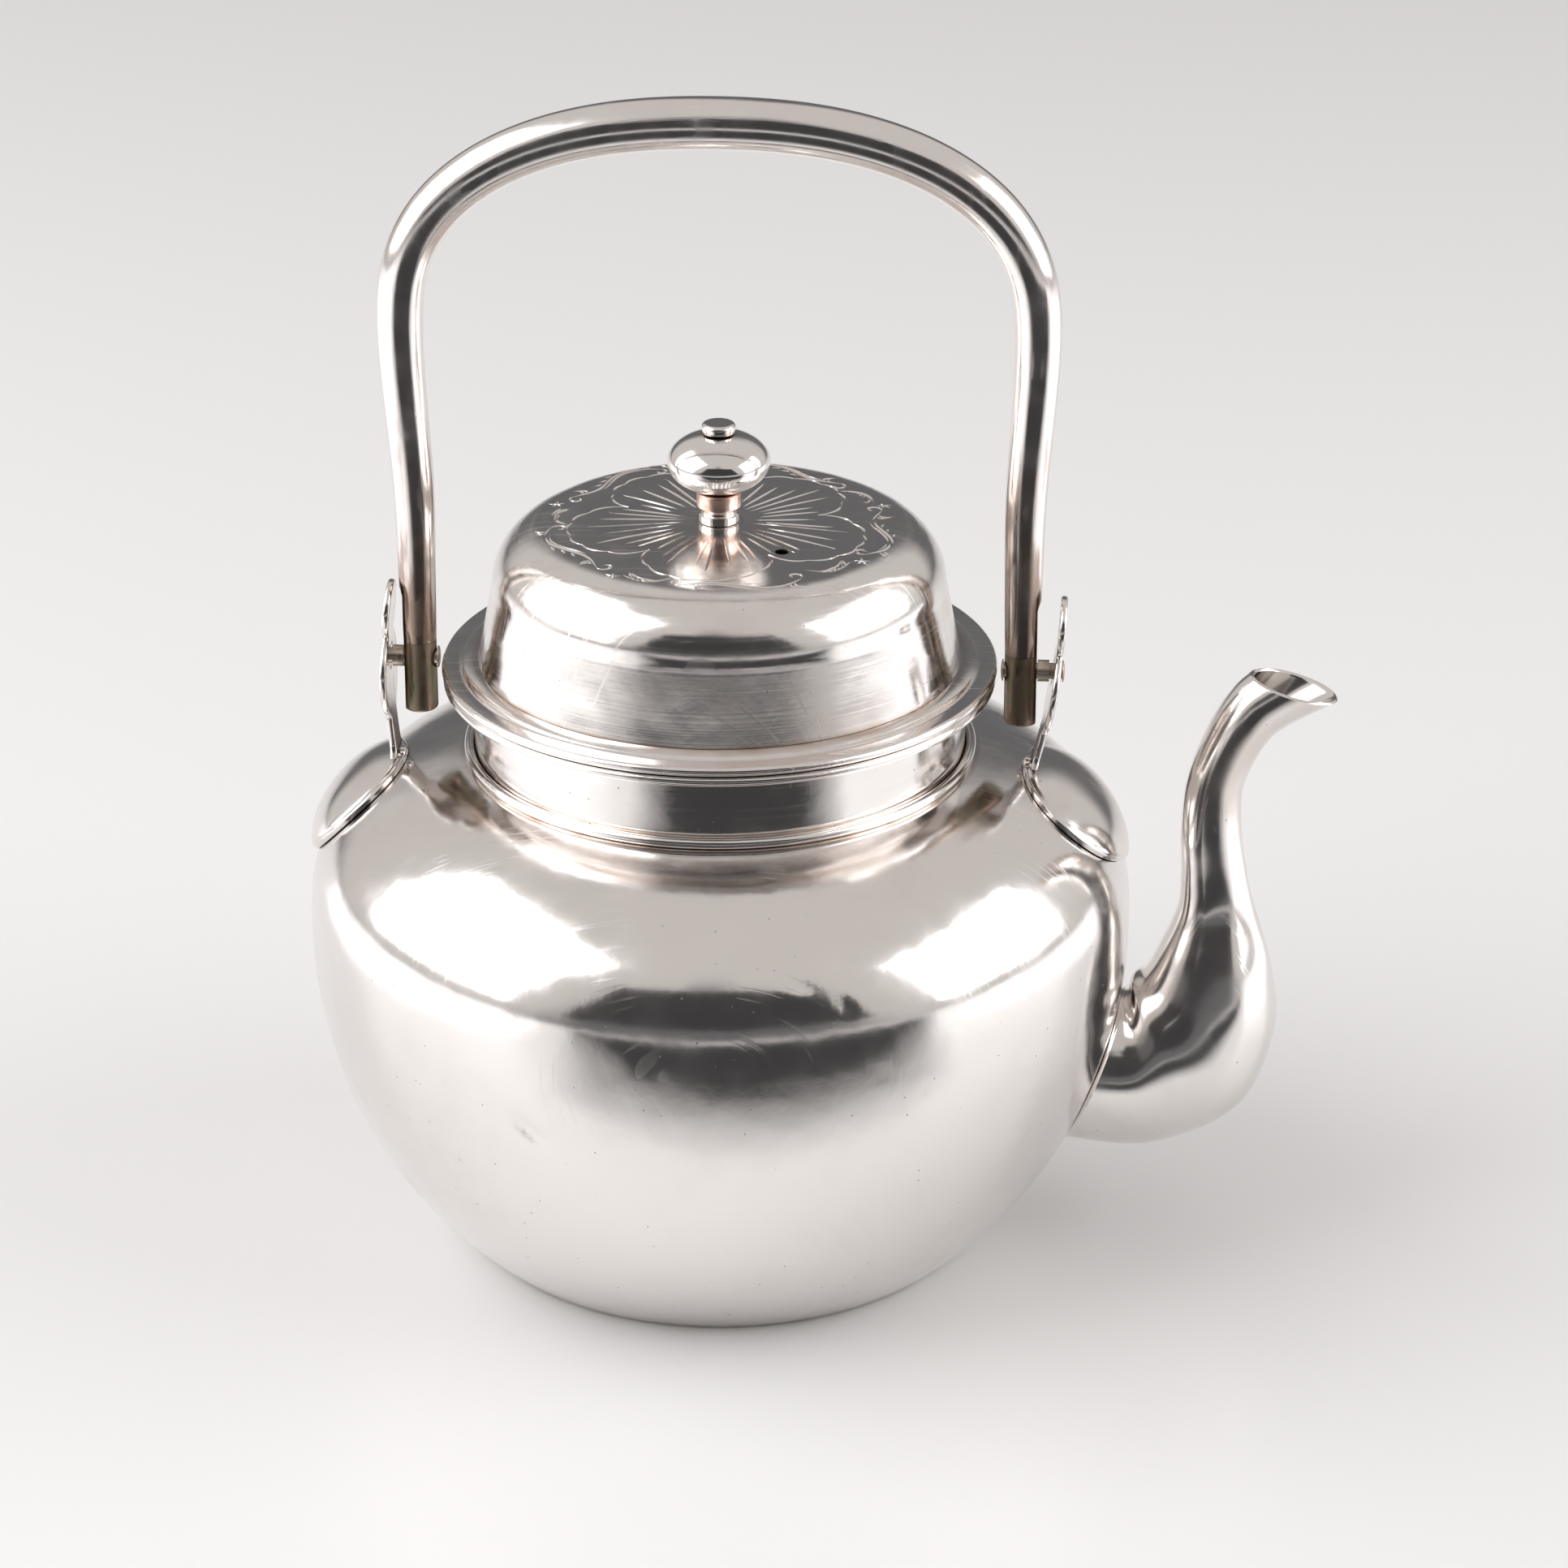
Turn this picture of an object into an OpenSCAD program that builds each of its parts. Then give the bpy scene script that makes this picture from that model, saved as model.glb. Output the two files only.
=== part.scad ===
// Small silver teapot: raised globular body, swan-neck spout, lift-off domed lid
// and a tubular bail handle that swings in two leaf-shaped ears.
// Millimetres. +Z is up, the spout points along +X and the flat base lies on z = 0.

/* [Body] */
// Largest diameter of the raised body
body_d = 125; // [110:1:140]
// Height of the widest line above the table
widest_z = 51.4; // [46:0.2:56]
// Diameter of the flat that the pot stands on
base_d = 77.2; // [66:0.2:86]
// Radius that turns the flat base up into the wall
base_round = 2; // [1:0.5:3]
// Height at which the shoulder meets the neck
neck_z = 79.2; // [76:0.2:82]
// Fullness of the shoulder: 2 is an ellipse, higher is squarer
shoulder_power = 2.8; // [2.3:0.1:3.4]
// Thickness of the raised silver sheet
body_wall = 1; // [0.8:0.1:1.6]

/* [Neck] */
// Outside diameter of the neck
neck_d = 74; // [70:0.5:78]
// Thickness of the neck wall
neck_wall = 1; // [0.8:0.1:1.4]
// Height of the top of the turned-out rim
rim_z = 91.7; // [89:0.1:93]
// Width by which the rim is turned out past the neck
rim_w = 4.5; // [3:0.1:6]
// Thickness of the rim
rim_t = 1.5; // [1.1:0.1:2]
// Radius of the hollow under the rim
rim_fillet = 1.6; // [0.8:0.1:2.2]
// Diameter of the half-round wire that hides the neck seam
bead_wire_d = 1.6; // [1.2:0.1:2]

/* [Lid] */
// Vertical play between the rim and the lid that rests on it
lid_gap = 0.2; // [0.1:0.05:0.3]
// Distance by which the lid flange stands out past the rim
flange_lip = 0.2; // [0:0.1:0.6]
// Width of the flange around the dome
flange_w = 5.5; // [4:0.1:8]
// Thickness of the flange at its edge
flange_t = 1.4; // [1.1:0.1:1.8]
// Rise of the flange towards the dome
flange_rise = 0.7; // [0.3:0.1:1]
// Distance by which the dome's wall leans inwards up to its shoulder
dome_lean = 1.9; // [0.5:0.1:3.5]
// Height of the dome above the flange
dome_h = 21.1; // [17:0.1:25]
// Radius of the dome's shoulder
dome_round = 9; // [6:0.5:11]
// Crown of the nearly flat dome top
dome_crown = 0.5; // [0.3:0.1:1.2]
// Thickness of the dome sheet
dome_wall = 0.8; // [0.6:0.1:1.2]
// Radial play of the locating ring in the neck
bezel_play = 0.4; // [0.2:0.1:0.8]
// Depth of the locating ring below the flange
bezel_h = 7; // [4:0.5:9]
// Thickness of the locating ring
bezel_wall = 0.8; // [0.6:0.1:1.2]
// Diameter of the steam hole in the dome
steam_hole_d = 2; // [1.5:0.1:3]
// Distance of the steam hole from the lid's axis
steam_hole_r = 15.1; // [12:0.1:20]
// Direction of the steam hole, seen from above
steam_hole_angle = -48.5; // [-90:0.5:90]

/* [Knob] */
// Diameter of the flattened ball
ball_d = 15.4; // [12:0.1:17]
// Height of the flattened ball
ball_h = 9.2; // [7:0.1:10]
// Diameter of the washer that lies on the dome
knob_washer_d = 6; // [5:0.1:8]
// Thickness of that washer
knob_washer_h = 1.8; // [1.2:0.1:2.4]
// Diameter of the sleeve below the ball
knob_sleeve_d = 6.7; // [5.4:0.1:8]
// Height of the sleeve
knob_sleeve_h = 2.9; // [2:0.1:4]
// Diameter of the waist turned into the sleeve
knob_waist_d = 5.2; // [4.4:0.1:6]
// Diameter of the rivet that holds the knob together
knob_rivet_d = 2.4; // [2:0.1:3]
// Diameter of the rivet's button head
button_d = 5.1; // [4:0.1:6]
// Height of the button head
button_h = 1.4; // [1.2:0.1:2.2]
// Diameter of the washer inside the lid
inner_washer_d = 7.4; // [6:0.1:9]
// Thickness of the washer inside the lid
inner_washer_t = 0.8; // [0.6:0.1:1.2]

/* [Spout] */
// Height of the middle of the spout's root on the body
spout_root_z = 27; // [24:0.5:30]
// Outer radius of the spout's root
spout_root_r = 11.6; // [10:0.1:12.5]
// Reach of the spout's mouth beyond the body's widest line
spout_reach = 24; // [20:0.5:30]
// Height of the middle of the spout's mouth
spout_mouth_z = 90.2; // [84:0.2:96]
// Thickness of the spout's sheet
spout_wall = 0.8; // [0.6:0.1:1.1]
// Diameter of the strainer holes behind the spout
strainer_hole_d = 2.4; // [1.6:0.1:3]
// Radius of the ring of strainer holes
strainer_ring_r = 6; // [5:0.1:7]

/* [Ears] */
// Thickness of the ear sheet
ear_t = 1; // [0.8:0.1:1.3]
// Distance of the left ear's foot from the middle of the left leg
ear_left_gap = 4; // [3.8:0.1:6]
// Distance of the right ear's foot from the middle of the right leg
ear_right_gap = 2.2; // [2:0.1:5]
// Angle at which the left ear leans outwards
ear_left_lean_angle = 0; // [0:0.5:5]
// Angle at which the right ear leans outwards
ear_right_lean_angle = 8.5; // [4:0.5:9]
// Radius to which the ear sheet is bowed
ear_bow_r = 110; // [90:5:200]
// Radius of the ear's upper lobe
ear_top_r = 4.6; // [4:0.1:5.4]
// Radius of the ear's lower lobe
ear_lobe_r = 6.8; // [6:0.1:7.6]
// Height of the ear's tip above the table
ear_tip_z = 104.4; // [102:0.2:107]
// Width of the ear's waist
ear_waist_w = 5.2; // [4.4:0.1:6.4]
// Overlap of the ear's two lobes
ear_lobe_overlap = 1.4; // [0.8:0.1:2]
// Half width of the domed leaf that carries the left ear
foot_left_r = 12.3; // [9:0.1:14]
// Half width of the domed leaf that carries the right ear
foot_right_r = 14; // [9:0.1:15]
// Half length of both leaves, before their point
foot_half_len = 9.1; // [8:0.1:11]
// Thickness of that leaf at its edge
foot_t = 0.9; // [0.6:0.1:1.2]
// Height by which the leaf's middle is domed above its edge
foot_dome = 1.6; // [0.6:0.1:2]
// Length of the leaf that is tucked inwards of the ear's foot
leaf_tuck = 1.5; // [0.5:0.1:2.5]

/* [Bail handle] */
// Gap between the lid flange and each leg
leg_gap = 1; // [0.9:0.1:1.7]
// Distance by which the bail swells outwards from its legs to its widest place
bail_swell = 1.55; // [0.5:0.05:4]
// Height of the bail's widest place
bail_wide_z = 146; // [140:1:152]
// Height of the tube's middle at the top of the arch
bail_top_z = 176.4; // [170:0.2:184]
// Fullness of the arch: 2 is an ellipse, higher is squarer
arch_power = 2.3; // [2:0.05:2.6]
// Diameter of the tube at the top of the arch
bail_top_d = 7.8; // [7:0.1:8.6]
// Diameter of the tube at its lower ends
bail_end_d = 5.2; // [4.6:0.1:5.4]
// Thickness of the tube's wall
bail_wall = 0.7; // [0.5:0.1:0.9]
// Height of the tube's lower ends above the pins
tube_end_rise = 2.9; // [2.1:0.1:6]
// Length of the solid end pieces below the pins
leg_tail = 8.3; // [5.3:0.1:9.3]
// Height at which the flat on each leg's outside begins
leg_flat_z = 104; // [100:0.5:108]
// Length of straight leg above that flat
leg_straight = 10; // [6:0.5:16]
// Depth of the flat filed on each leg's outside
leg_flat_depth = 0.7; // [0.3:0.1:0.7]
// Length of the peg that holds each end piece in the tube
peg_len = 10; // [6:0.5:14]

/* [Hinge pins] */
// Height of the pins that the bail swings on
pin_z = 92.3; // [90:0.1:92.8]
// Diameter of the pin in the leg
pin_d = 2.4; // [2:0.1:2.8]
// Diameter of the pin's shoulder between leg and ear
pin_shoulder_d = 3.4; // [3:0.1:4]
// Diameter of the pin's heads
pin_head_d = 3.4; // [3.1:0.1:3.8]
// Thickness of the pin's heads
pin_head_t = 0.4; // [0.2:0.05:0.5]
// Radial running clearance of the pin in the leg
pin_play = 0.05; // [0.02:0.01:0.1]

/* [Hidden] */

// Smoothness of turned surfaces, swept tubes and profile arcs
turned_fn = 96;
small_fn = 48;
tube_sides = 16;
spout_sides = 24;
curve_steps = 24;

// Seams between soldered or seated pieces of one body
seam = 0.05;
// Side play of the leg between the ear's shoulder and the inner head
side_play = 0.15;
// Extra length of a cutter past the face that it cuts
over = 1;

body_r = body_d / 2;
neck_r = neck_d / 2;
rim_r = neck_r + rim_w;
// Half height of the ellipse that the lower wall follows through base_d
lower_h = widest_z / sqrt(1 - pow(base_d / body_d, 2));
// Height of the curve that the shoulder follows through the neck's foot
shoulder_h = (neck_z - widest_z) / pow(1 - pow(neck_r / body_r, shoulder_power), 1 / shoulder_power);

flange_z = rim_z + lid_gap;
flange_r = rim_r + flange_lip;
dome_r = flange_r - flange_w;
dome_z = flange_z + flange_t + flange_rise + seam;
dome_top_z = dome_z + dome_h;

leg_r = bail_end_d / 2;
leg_x = flange_r + leg_gap + leg_r;
bail_wide_x = leg_x + bail_swell;
tube_end_z = pin_z + tube_end_rise;
leg_end_z = pin_z - leg_tail;
ear_left_x = leg_x + ear_left_gap;
ear_right_x = leg_x + ear_right_gap;

// ---- Curves that several pieces share ----

// Radius of a superelliptic quarter curve of half width a at the share t of its height
function quarter_r(a, t, power) = a * pow(max(0, 1 - pow(t, power)), 1 / power);

// Outside radius of the body at height z, with its sheet taken off when inset > 0
function body_radius(z, inset = 0) = z < widest_z
    ? quarter_r(body_r - inset, (widest_z - z) / (lower_h - inset), 2)
    : quarter_r(body_r - inset, (z - widest_z) / (shoulder_h - inset), shoulder_power);

// Height of the shoulder at radius r, with its sheet taken off when inset > 0
function shoulder_z(r, inset = 0) =
    widest_z + quarter_r(shoulder_h - inset, r / (body_r - inset), shoulder_power);

// Points [x, y] on an arc, from angle a to angle b
function arc(cx, cy, r, a, b, steps = 8) =
    [for (i = [0:steps]) let (w = a + (b - a) * i / steps) [cx + r * cos(w), cy + r * sin(w)]];

// Body profile from the base corner up to the neck's foot
function body_profile(inset, low_z) = concat(
    [for (i = [0:curve_steps]) let (z = low_z + (widest_z - low_z) * i / curve_steps)
        [body_radius(z, inset), z]],
    [for (i = [1:curve_steps]) let (w = 90 * i / curve_steps,
        end_w = asin(pow((neck_z - inset - widest_z) / (shoulder_h - inset), shoulder_power / 2)),
        z = widest_z + (shoulder_h - inset) * pow(sin(end_w * w / 90), 2 / shoulder_power))
        [body_radius(z, inset), z]]
);

// One value on a smooth curve through p1 and p2 at the share t between them
function smooth(p0, p1, p2, p3, t) = p1 + 0.5 * t * (p2 - p0
    + t * (2 * p0 - 5 * p1 + 4 * p2 - p3 + t * (3 * (p1 - p2) + p3 - p0)));

// Rings of a loft, with steps extra rings between each pair of given rings
function loft_rings(rings, steps) = let (last = len(rings) - 1) concat(
    [for (k = [0:last - 1], i = [0:steps - 1])
        [for (j = [0:len(rings[0]) - 1])
            smooth(rings[max(0, k - 1)][j], rings[k][j], rings[k + 1][j], rings[min(last, k + 2)][j], i / steps)]],
    [rings[last]]
);

// Closed skin over an outer and an inner stack of rings with the same count of sides
module hollow_loft(outer, inner) {
    sides = len(outer[0]);
    rows = len(outer);
    function at(skin, k, j) = (skin * rows + k) * sides + j % sides;
    outside = [for (k = [0:rows - 2], j = [0:sides - 1])
        [at(0, k, j), at(0, k, j + 1), at(0, k + 1, j + 1), at(0, k + 1, j)]];
    inside = [for (k = [0:rows - 2], j = [0:sides - 1])
        [at(1, k, j), at(1, k + 1, j), at(1, k + 1, j + 1), at(1, k, j + 1)]];
    first = [for (j = [0:sides - 1]) [at(0, 0, j), at(1, 0, j), at(1, 0, j + 1), at(0, 0, j + 1)]];
    last = [for (j = [0:sides - 1])
        [at(0, rows - 1, j), at(0, rows - 1, j + 1), at(1, rows - 1, j + 1), at(1, rows - 1, j)]];
    polyhedron(
        points = [for (skin = [outer, inner], ring = skin, p = ring) p],
        faces = concat(outside, inside, first, last),
        convexity = 6
    );
}

// ---- Body ----

// Holes pierced in the body behind the spout's root
module strainer_cutter() {
    hole_len = body_r;
    for (spot = concat([[0, 0]], [for (i = [0:5]) strainer_ring_r * [cos(60 * i), sin(60 * i)]]))
        translate([body_r - hole_len / 2, spot[0], spout_root_z + spot[1]])
            rotate([0, 90, 0])
                cylinder(d = strainer_hole_d, h = hole_len, $fn = small_fn);
}

module body_shell() {
    hole_r = neck_r - neck_wall;
    // Where the round of the base runs into the wall, and the wall's slope there
    slope = atan(widest_z / pow(lower_h, 2) / (base_d / 2 / pow(body_r, 2)));
    corner_z = base_round * (1 - sin(slope));
    outside = body_profile(0, corner_z);
    inside = body_profile(body_wall, body_wall + corner_z);
    floor_r = body_radius(corner_z) - base_round * cos(slope);
    inner_floor_r = body_radius(corner_z + body_wall, body_wall) - base_round * cos(slope);
    color("silver")
        difference() {
            rotate_extrude($fn = turned_fn)
                polygon(concat(
                    [[0, 0]],
                    arc(floor_r, base_round, base_round, -90, -slope, 4),
                    outside,
                    [[hole_r, neck_z]],
                    [[hole_r, neck_z - body_wall]],
                    [for (i = [len(inside) - 1:-1:0]) inside[i]],
                    arc(inner_floor_r, base_round + body_wall, base_round, -slope, -90, 4),
                    [[0, body_wall]]
                ));
            strainer_cutter();
        }
}

module neck_collar() {
    wall_top = rim_z - rim_t - rim_fillet;
    inner_r = neck_r - neck_wall;
    edge = rim_t / 2;
    color("gainsboro")
        rotate_extrude($fn = turned_fn)
            polygon(concat(
                [[inner_r, neck_z + seam], [neck_r, neck_z + seam]],
                arc(neck_r + rim_fillet, wall_top, rim_fillet, 180, 90, 5),
                arc(rim_r - edge, rim_z - edge, edge, -90, 90, 6),
                arc(inner_r + edge, rim_z - edge, edge, 90, 180, 4)
            ));
}

module neck_bead() {
    bead_r = neck_r + seam + bead_wire_d / 2;
    bead_z = shoulder_z(bead_r) + seam + bead_wire_d / 2;
    color("lightgray")
        rotate_extrude($fn = turned_fn)
            translate([bead_r, bead_z])
                circle(d = bead_wire_d, $fn = small_fn);
}

// ---- Spout ----

// Sections of the spout from above its root to its mouth:
// [x past the widest line, height, direction of the bore, half width in XZ, half width across]
spout_sections = [
    [2.0, 26.9, 10, 12.3, 12.2],
    [9.1, 31.4, 40, 13.1, 12.2],
    [12.6, 38.3, 65, 11.1, 10.8],
    [13.3, 46.0, 79, 8.7, 8.7],
    [13.0, 54.0, 92, 5.9, 6.0],
    [12.5, 60.0, 94, 5.0, 5.0],
    [11.9, 67.0, 91, 4.6, 4.6],
    [12.1, 73.8, 82, 4.3, 4.3],
    [13.5, 78.9, 68, 4.3, 4.3],
    [15.8, 83.9, 55, 4.5, 4.5],
    [18.7, 87.3, 52, 4.9, 4.7],
    [24.0, 90.2, 74, 6.3, 5.2]
];
mouth = spout_sections[len(spout_sections) - 1];
// The table is drawn for this root and mouth; other sizes shift its sections in proportion
spout_dx = spout_reach - mouth[0];
spout_dz = spout_mouth_z - mouth[1];
spout_root_dz = spout_root_z - spout_sections[0][1];
spout_root_scale = spout_root_r / spout_sections[0][3];

// Share of the way from the root to the mouth at section s
function spout_share(s) = (s[1] - spout_sections[0][1]) / (mouth[1] - spout_sections[0][1]);

// One ring of the spout, inset by the sheet's thickness for the bore
function spout_ring(s, inset) = let (
        share = spout_share(s),
        grow = 1 + (spout_root_scale - 1) * (1 - share),
        x = body_r + s[0] + spout_dx * share,
        z = s[1] + spout_dz * share + spout_root_dz * (1 - share)
    )
    [for (j = [0:spout_sides - 1]) let (
            w = 360 * j / spout_sides,
            across = (s[4] * grow - inset) * sin(w),
            up = (s[3] * grow - inset) * cos(w)
        )
        [x - up * sin(s[2]), -across, z + up * cos(s[2])]];

// The root ring follows the body's surface
function spout_root_ring(inset) = [for (j = [0:spout_sides - 1]) let (
        w = 360 * j / spout_sides,
        y = -(spout_root_r - inset) * sin(w),
        z = spout_root_z + (spout_root_r - inset) * cos(w)
    )
    [sqrt(pow(body_radius(z), 2) - y * y) + seam, y, z]];

function spout_skin(inset) = loft_rings(
    concat([spout_root_ring(inset)], [for (s = spout_sections) spout_ring(s, inset)]), 3);

module spout() {
    color("silver")
        hollow_loft(spout_skin(0), spout_skin(spout_wall));
}

// ---- Ears and their feet ----

ear_lobe_z = ear_tip_z - 2 * ear_top_r - ear_lobe_r + ear_lobe_overlap;

// The leaf's middle lies this far along the shoulder past the ear's foot
leaf_mid_s = foot_half_len - leaf_tuck;
// The solder that the leaf lies on
leaf_seat = 2 * seam;

// Fullness of the leaf's dome: 2 is a parabola, more is flatter on top and steeper at the edge
leaf_power = 3;
// Height of the leaf's outside above the body at the share q of the way to its edge
function leaf_lift(q) = leaf_seat + foot_t + foot_dome * (1 - pow(q, leaf_power));

// Height at which an ear stands on its leaf, under the inner face of its sheet
function ear_foot_z(foot_x) =
    shoulder_point(-ear_t, 0, leaf_lift((leaf_mid_s + ear_t) / foot_half_len), foot_x)[2] + seam;

// Outline of an ear in its own plane: x runs across, y runs up from the table
module ear_outline(foot_z) {
    translate([0, ear_tip_z - ear_top_r])
        circle(r = ear_top_r, $fn = small_fn);
    translate([0, ear_lobe_z])
        circle(r = ear_lobe_r, $fn = small_fn);
    translate([-ear_waist_w / 2, foot_z])
        square([ear_waist_w, ear_lobe_z - foot_z]);
}

// Distance by which the bowed sheet stands out from its foot at height z
function ear_bow(z, foot_z) = let (half = (ear_tip_z - foot_z) / 2)
    sqrt(pow(ear_bow_r, 2) - pow(z - foot_z - half, 2)) - sqrt(pow(ear_bow_r, 2) - half * half);

// An ear on the +X side, bowed round a cylinder and leaned outwards at its foot
module ear(foot_x, lean) {
    foot_z = ear_foot_z(foot_x);
    half = (ear_tip_z - foot_z) / 2;
    reach = 4 * ear_lobe_r;
    color("silver")
        difference() {
            translate([foot_x, 0, foot_z])
                rotate([0, lean, 0])
                    translate([-foot_x, 0, -foot_z])
                        intersection() {
                            translate([foot_x - reach / 2, 0, 0])
                                rotate([90, 0, 90])
                                    linear_extrude(reach)
                                        ear_outline(foot_z);
                            translate([foot_x - sqrt(pow(ear_bow_r, 2) - half * half), 0, foot_z + half])
                                rotate([90, 0, 0])
                                    difference() {
                                        cylinder(r = ear_bow_r + ear_t / 2, h = reach, center = true, $fn = 192);
                                        cylinder(r = ear_bow_r - ear_t / 2, h = 2 * reach, center = true, $fn = 192);
                                    }
                        }
            translate([foot_x - reach / 2, 0, pin_z])
                rotate([0, 90, 0])
                    cylinder(d = pin_d + 2 * seam, h = reach, $fn = small_fn);
        }
}

module ear_right() ear(ear_right_x, ear_right_lean_angle);

module ear_left() mirror([1, 0, 0]) ear(ear_left_x, ear_left_lean_angle);

// Angle in degrees that spans the arc length s at the radius r
function span(s, r) = s / r * 180 / PI;

// Point on the body at s along the meridian past the ear and at v across, raised by h;
// it runs on over the widest line where the leaf is long
function shoulder_point(s, v, h, foot_x) = let (
        w = acos(pow(foot_x / body_r, shoulder_power / 2)) - span(s, shoulder_h),
        above = w >= 0,
        power = above ? shoulder_power : 2,
        high = above ? shoulder_h : lower_h,
        turn = above ? w : -w * shoulder_h / lower_h,
        r = body_r * pow(cos(turn), 2 / power),
        up = pow(sin(turn), 2 / power),
        nr = pow(r / body_r, power - 1) / body_r,
        nz = pow(up, power - 1) / high,
        n = norm([nr, nz]),
        a = span(v, r),
        rr = r + h * nr / n,
        side = above ? 1 : -1
    )
    [rr * cos(a), rr * sin(a), widest_z + side * (high * up + h * nz / n)];

// Share of its half length by which the leaf is drawn out to a soft point, and how narrow the point is
leaf_point = 0.1;
leaf_point_power = 6;

// Polar outline of a leaf: an ellipse with its point away from the ear
function leaf_r(w, half_w) = (1 + leaf_point * pow(max(0, cos(w)), leaf_point_power))
    / norm([cos(w) / foot_half_len, sin(w) / half_w]);

// A domed leaf lying on the shoulder from the ear's foot outwards
module ear_foot(foot_x, half_w) {
    turns = 32;
    rows = 5;
    // Points of one skin: the centre, then rows of rings outwards
    function skin(lift) = concat(
        [shoulder_point(leaf_mid_s, 0, lift(0), foot_x)],
        [for (k = [1:rows], j = [0:turns - 1]) let (w = 360 * j / turns, q = leaf_r(w, half_w) * k / rows)
            shoulder_point(leaf_mid_s + q * cos(w), q * sin(w), lift(k / rows), foot_x)]
    );
    top = skin(function (q) leaf_lift(q));
    under = skin(function (q) leaf_seat);
    half = len(top);
    function at(k, j) = k == 0 ? 0 : 1 + (k - 1) * turns + j % turns;
    fan = [for (j = [0:turns - 1]) [at(0, 0), at(1, j + 1), at(1, j)]];
    band = [for (k = [1:rows - 1], j = [0:turns - 1]) [at(k, j), at(k, j + 1), at(k + 1, j + 1), at(k + 1, j)]];
    rim = [for (j = [0:turns - 1]) [at(rows, j), at(rows, j + 1), half + at(rows, j + 1), half + at(rows, j)]];
    function flip(f) = [for (i = [len(f) - 1:-1:0]) half + f[i]];
    color("silver")
        polyhedron(
            points = concat(top, under),
            faces = concat(fan, band, rim, [for (f = concat(fan, band)) flip(f)]),
            convexity = 4
        );
}

module ear_foot_right() ear_foot(ear_right_x, foot_right_r);

module ear_foot_left() mirror([1, 0, 0]) ear_foot(ear_left_x, foot_left_r);

// ---- Hinge pins ----

leg_flat_x = leg_x + leg_r - leg_flat_depth;

// A shouldered rivet on the +X side: outer head, shank in the ear, shoulder, journal, inner head;
// its core ends halfway into both heads
module hinge_pin(foot_x, lean) {
    foot_z = ear_foot_z(foot_x);
    ear_x = foot_x + ear_bow(pin_z, foot_z) + (pin_z - foot_z) * tan(lean);
    inner_x = leg_x - leg_r - side_play;
    shoulder_x = leg_flat_x + side_play;
    tilt_room = pin_head_d / 2 * tan(lean);
    shoulder_end = ear_x - ear_t / 2 - tilt_room - side_play;
    outer_x = ear_x + ear_t / 2 + tilt_room + seam;
    color("rosybrown")
        translate([0, 0, pin_z])
            rotate([0, 90, 0]) {
                translate([0, 0, inner_x - pin_head_t / 2])
                    cylinder(d = pin_d, h = outer_x - inner_x + pin_head_t, $fn = small_fn);
                translate([0, 0, inner_x - pin_head_t])
                    cylinder(d = pin_head_d, h = pin_head_t, $fn = small_fn);
                translate([0, 0, shoulder_x])
                    cylinder(d = pin_shoulder_d, h = shoulder_end - shoulder_x, $fn = small_fn);
                translate([0, 0, outer_x])
                    cylinder(d = pin_head_d, h = pin_head_t, $fn = small_fn);
            }
}

module hinge_pin_right() hinge_pin(ear_right_x, ear_right_lean_angle);

module hinge_pin_left() mirror([1, 0, 0]) hinge_pin(ear_left_x, ear_left_lean_angle);

// ---- Bail handle ----

// The leg is straight up to here, and then eases outwards to the bail's widest place
leg_straight_z = leg_flat_z + leg_straight;

// Middle of the leg at height z
function leg_at(z) = z < leg_straight_z ? leg_x
    : leg_x + (bail_wide_x - leg_x) * (1 - cos(180 * (z - leg_straight_z) / (bail_wide_z - leg_straight_z))) / 2;

leg_steps = 14;
arch_steps = 15;
// Points of the tube's middle, [x, z], from the right leg's end to the top of the arch
half_path = concat(
    [for (i = [0:leg_steps - 1]) let (z = tube_end_z + (bail_wide_z - tube_end_z) * i / leg_steps) [leg_at(z), z]],
    [for (i = [0:arch_steps]) let (w = 90 * i / arch_steps)
        [bail_wide_x * pow(cos(w), 2 / arch_power),
         bail_wide_z + (bail_top_z - bail_wide_z) * pow(sin(w), 2 / arch_power)]]
);
path_end = len(half_path) - 1;
bail_path = concat(half_path, [for (i = [path_end - 1:-1:0]) [-half_path[i][0], half_path[i][1]]]);

// Tube radius at a point of the path: thick in the arch, tapering faster towards the legs' ends
taper_power = 1.6;
function tube_r(k) = let (share = 1 - min(k, len(bail_path) - 1 - k) / path_end)
    (bail_end_d + (bail_top_d - bail_end_d) * (1 - pow(share, taper_power))) / 2;

// One ring of the tube, square to the path, with the flat filed on the legs' outside
function tube_ring(k, inset) = let (
        p = bail_path[k],
        back = bail_path[max(0, k - 1)],
        ahead = bail_path[min(len(bail_path) - 1, k + 1)],
        d = (ahead - back) / norm(ahead - back),
        r = tube_r(k) - inset,
        end_ring = k == 0 || k == len(bail_path) - 1,
        dx = end_ring ? 0 : d[0],
        dz = end_ring ? sign(d[1]) : d[1]
    )
    [for (j = [0:tube_sides - 1]) let (
            w = 360 * (j + 0.5) / tube_sides,
            x = p[0] + r * cos(w) * dz,
            z = p[1] - r * cos(w) * dx,
            filed = z < leg_flat_z && inset == 0
        )
        [filed ? max(-leg_flat_x, min(leg_flat_x, x)) : x, r * sin(w), z]];

module bail_tube() {
    color("silver")
        hollow_loft(
            [for (k = [0:len(bail_path) - 1]) tube_ring(k, 0)],
            [for (k = [0:len(bail_path) - 1]) tube_ring(k, bail_wall)]
        );
}

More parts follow.
